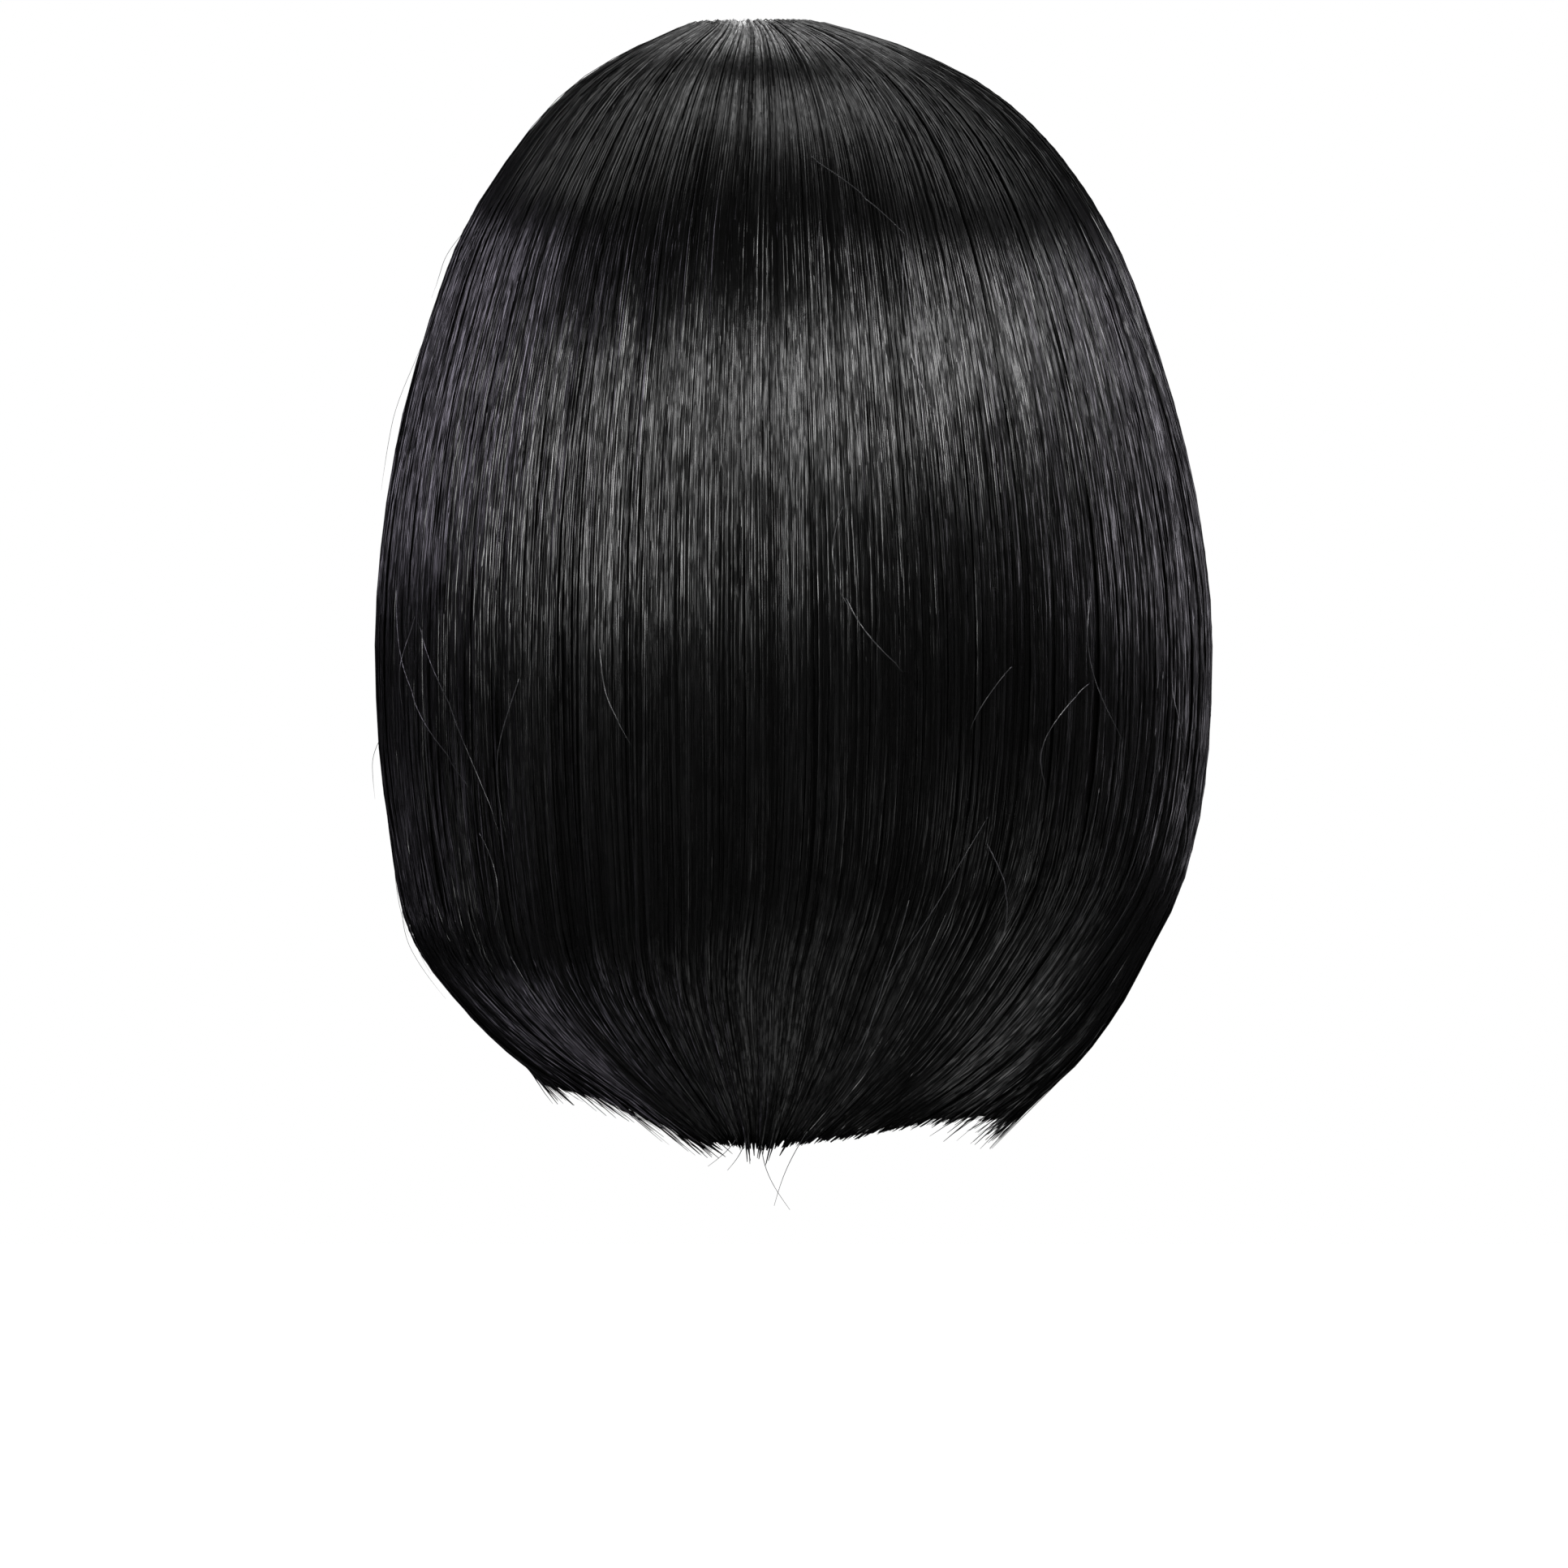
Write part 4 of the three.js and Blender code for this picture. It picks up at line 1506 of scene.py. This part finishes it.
@dataclass(frozen=True)
class Studio:
    """Camera, lights, floor and surroundings."""

    view_width: float = 410 * MM
    target: tuple[float, float, float] = (2.5 * MM, 0.0, -189 * MM)
    distance: float = 4.0
    floor_height: float = -0.43
    floor_half: float = 4.0
    floor_grey: float = 0.9
    floor_roughness: float = 0.9
    ambient: float = 0.035

    def camera(self) -> None:
        """A long lens behind the wig, level with its middle."""
        data = bpy.data.cameras.new("Camera")
        data.sensor_width = 36.0
        data.lens = data.sensor_width * self.distance / self.view_width
        data.clip_end = 20
        camera = bpy.data.objects.new("Camera", data)
        camera.location = Vector(self.target) + Vector((0, self.distance, 0))
        camera.rotation_euler = (math.radians(90), 0, math.radians(180))
        bpy.context.scene.collection.objects.link(camera)
        bpy.context.scene.camera = camera

    def floor(self) -> None:
        """A plain, nearly white floor."""
        bm = bmesh.new()
        bmesh.ops.create_grid(bm, x_segments=1, y_segments=1, size=self.floor_half)
        bmesh.ops.translate(bm, verts=bm.verts[:], vec=(0, 0, self.floor_height))
        mesh = bpy.data.meshes.new("floor")
        bm.to_mesh(mesh)
        bm.free()
        floor = link_piece("floor", mesh)
        kit = NodeKit.for_material("Floor")
        grey = self.floor_grey
        kit.give(kit.shader, {"Base Color": (grey, grey, grey, 1), "Roughness": self.floor_roughness})
        kit.give(kit.shader, {"Emission Color": (1, 1, 1, 1)})
        path = kit.add("ShaderNodeLightPath")
        kit.link(path, "Is Camera Ray", kit.shader, "Emission Strength")
        mesh.materials.append(kit.material)
        floor.visible_glossy = False
        floor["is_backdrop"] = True

    def surroundings(self) -> None:
        """White to the camera, and dim to everything that it lights."""
        world = bpy.data.worlds.new("World")
        world.use_nodes = True
        kit = NodeKit(world.node_tree)
        background = world.node_tree.nodes["Background"]
        kit.give(background, {"Color": (0.5, 0.5, 0.5, 1), "Strength": self.ambient})
        white = kit.add("ShaderNodeBackground")
        kit.give(white, {"Color": (1, 1, 1, 1), "Strength": 1.0})
        path = kit.add("ShaderNodeLightPath")
        mix = kit.add("ShaderNodeMixShader")
        kit.link(path, "Is Camera Ray", mix, 0)
        kit.link(background, 0, mix, 1)
        kit.link(white, 0, mix, 2)
        kit.link(mix, 0, world.node_tree.nodes["World Output"], "Surface")
        bpy.context.scene.world = world

    def build(self) -> None:
        """Sets up the whole studio."""
        self.camera()
        self.floor()
        self.surroundings()
        for light in LIGHTS:
            light.hang()
        view = bpy.context.scene.view_settings
        view.view_transform = "Standard"
        view.look = "None"


def panels(form: HairForm) -> list[HairPanel]:
    """All panels of hair, outer and under.

    Args:
        form: the outer form that they follow.

    Returns:
        The panels, in the order in which they are built.
    """
    edge = form.face_edge
    under = {
        "per_degree": 4.6,
        "steps": 12,
        "backing_rows": 20,
        "columns_per_degree": 1.0,
        "root_rows": 0.0,
        "inner_share": 0.6,
        "clump_width": 1.5,
        "tress_width": 4.0,
        "widths": (0.5 * MM, 1.2 * MM),
    }
    nape_wisp = Wisp(60, 14, 0.6, reach=5 * MM, sweep=6 * MM, droop=1.5 * MM, outward=4 * MM)
    corner_wisp = Wisp(96, 12, 0.35, reach=3 * MM, sweep=0.0, droop=1 * MM, outward=6 * MM)
    right_wisp = Wisp(-88, 12, 0.5, reach=6 * MM, sweep=2 * MM, droop=3 * MM, outward=3 * MM)
    centre_wisp = Wisp(0, 12, 0.05, reach=3 * MM, sweep=0.0, droop=2 * MM, outward=4 * MM)
    return [
        HairPanel(
            "nape_hair", LongSheet(form, -24, 24, 5), 11, wisps=(centre_wisp, nape_wisp), loose=5,
            flyaways=(
                Flyaway((-5, -20), (39 * MM, 60 * MM), -1, 1.2 * MM),
                Flyaway((-7, -14.5), (152 * MM, 171 * MM), 1, 1.5 * MM),
            ),
            strays=(
                Stray(2, (1 * MM, 84 * MM, -298 * MM), 2 * MM),
                Stray(-22, (5 * MM, 82 * MM, -297 * MM), 1 * MM),
                Stray(10, (17 * MM, 80 * MM, -288 * MM), -1 * MM),
                Stray(14, (22 * MM, 79 * MM, -287 * MM), -1 * MM),
            ),
        ),
        HairPanel(
            "left_back_hair", LongSheet(form, 24, 84, 6), 12, wisps=(nape_wisp, corner_wisp), loose=6,
            flyaways=(
                Flyaway((72, 49), (150 * MM, 202 * MM), 3, 2.5 * MM),
                Flyaway((63, 44), (160 * MM, 214 * MM), -2, 1.5 * MM),
                Flyaway((27, 22), (165 * MM, 190 * MM), 1, 2 * MM),
            ),
        ),
        HairPanel(
            "right_back_hair", LongSheet(form, -84, -24, 6), 13, wisps=(right_wisp,), loose=6,
            flyaways=(
                Flyaway((-30.5, -24), (170 * MM, 186 * MM), 1, 2 * MM),
                Flyaway((-28.5, -36), (216 * MM, 242 * MM), -1, 2.5 * MM),
                Flyaway((-28, -18), (209 * MM, 254 * MM), 1, 2.5 * MM),
                # These five hairs lie close on the lower right tresses, and their pale colour paints
                # highlight arcs on them.
                Flyaway((-60, -57), (172 * MM, 236 * MM), 0, 0.8 * MM),
                Flyaway((-55, -53), (180 * MM, 246 * MM), 0, 0.9 * MM),
                Flyaway((-51, -50), (190 * MM, 250 * MM), 0, 0.7 * MM),
                Flyaway((-47, -46), (202 * MM, 256 * MM), 0, 0.9 * MM),
                Flyaway((-64, -60), (190 * MM, 252 * MM), 0, 0.8 * MM),
            ),
        ),
        HairPanel(
            "left_side_hair", LongSheet(form, 84, edge, 5), 14, inner_share=0.12,
            wisps=(corner_wisp,), loose=5,
            flyaways=(
                Flyaway((101, 96), (196 * MM, 236 * MM), 1, 1 * MM),
                Flyaway((97, 92), (212 * MM, 252 * MM), 0, 1.5 * MM),
                Flyaway((104, 90), (224 * MM, 262 * MM), 1, 1.2 * MM),
                Flyaway((95, 88), (236 * MM, 268 * MM), -1, 2 * MM),
            ),
        ),
        HairPanel(
            "right_side_hair", LongSheet(form, -edge, -84, 5), 15, inner_share=0.12,
            wisps=(right_wisp,), loose=5,
        ),
        HairPanel(
            "fringe", FringeSheet(form, edge, 360 - edge, 7), 16, steps=20, backing_rows=24,
            inner_share=0.08, root_rows=4.5, loose=5,
        ),
        HairPanel("under_nape_hair", UnderSheet(form, -62, 62, 7), 21, **under),
        HairPanel("under_left_hair", UnderSheet(form, 63, 124, 4), 22, **under),
        HairPanel("under_right_hair", UnderSheet(form, -124, -63, 4), 23, **under),
    ]


def count_triangles(piece: bpy.types.Object) -> int:
    """Triangles of a piece's mesh."""
    return sum(len(polygon.vertices) - 2 for polygon in piece.data.polygons)


def corners() -> list[list[float]]:
    """The lowest and highest corner of what is shown, as plain lists."""
    return [list(corner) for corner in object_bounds()]


def main() -> None:
    """Loads the frame, builds the wig's pieces over it and sets up the studio."""
    logging.basicConfig(level=logging.INFO, format="%(name)s: %(message)s")
    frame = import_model()
    hair = HairFinish("Hair").material()
    made = []
    for panel in panels(HairForm()):
        made += panel.build(hair)
    made += Cap().build()
    crown = frame["nodes"]["crown_patch"]
    crown.data.materials.clear()
    crown.data.materials.append(
        NetFinish("Crown net", (0.62, 0.44, 0.33), (0.40, 0.26, 0.19), 1400).material()
    )
    total = 0
    for piece in made:
        triangles = count_triangles(piece)
        total += triangles
        LOG.info("%s: %d triangles", piece.name, triangles)
    LOG.info("all pieces: %d triangles", total)
    Studio().build()


if __name__ == "__main__":
    main()
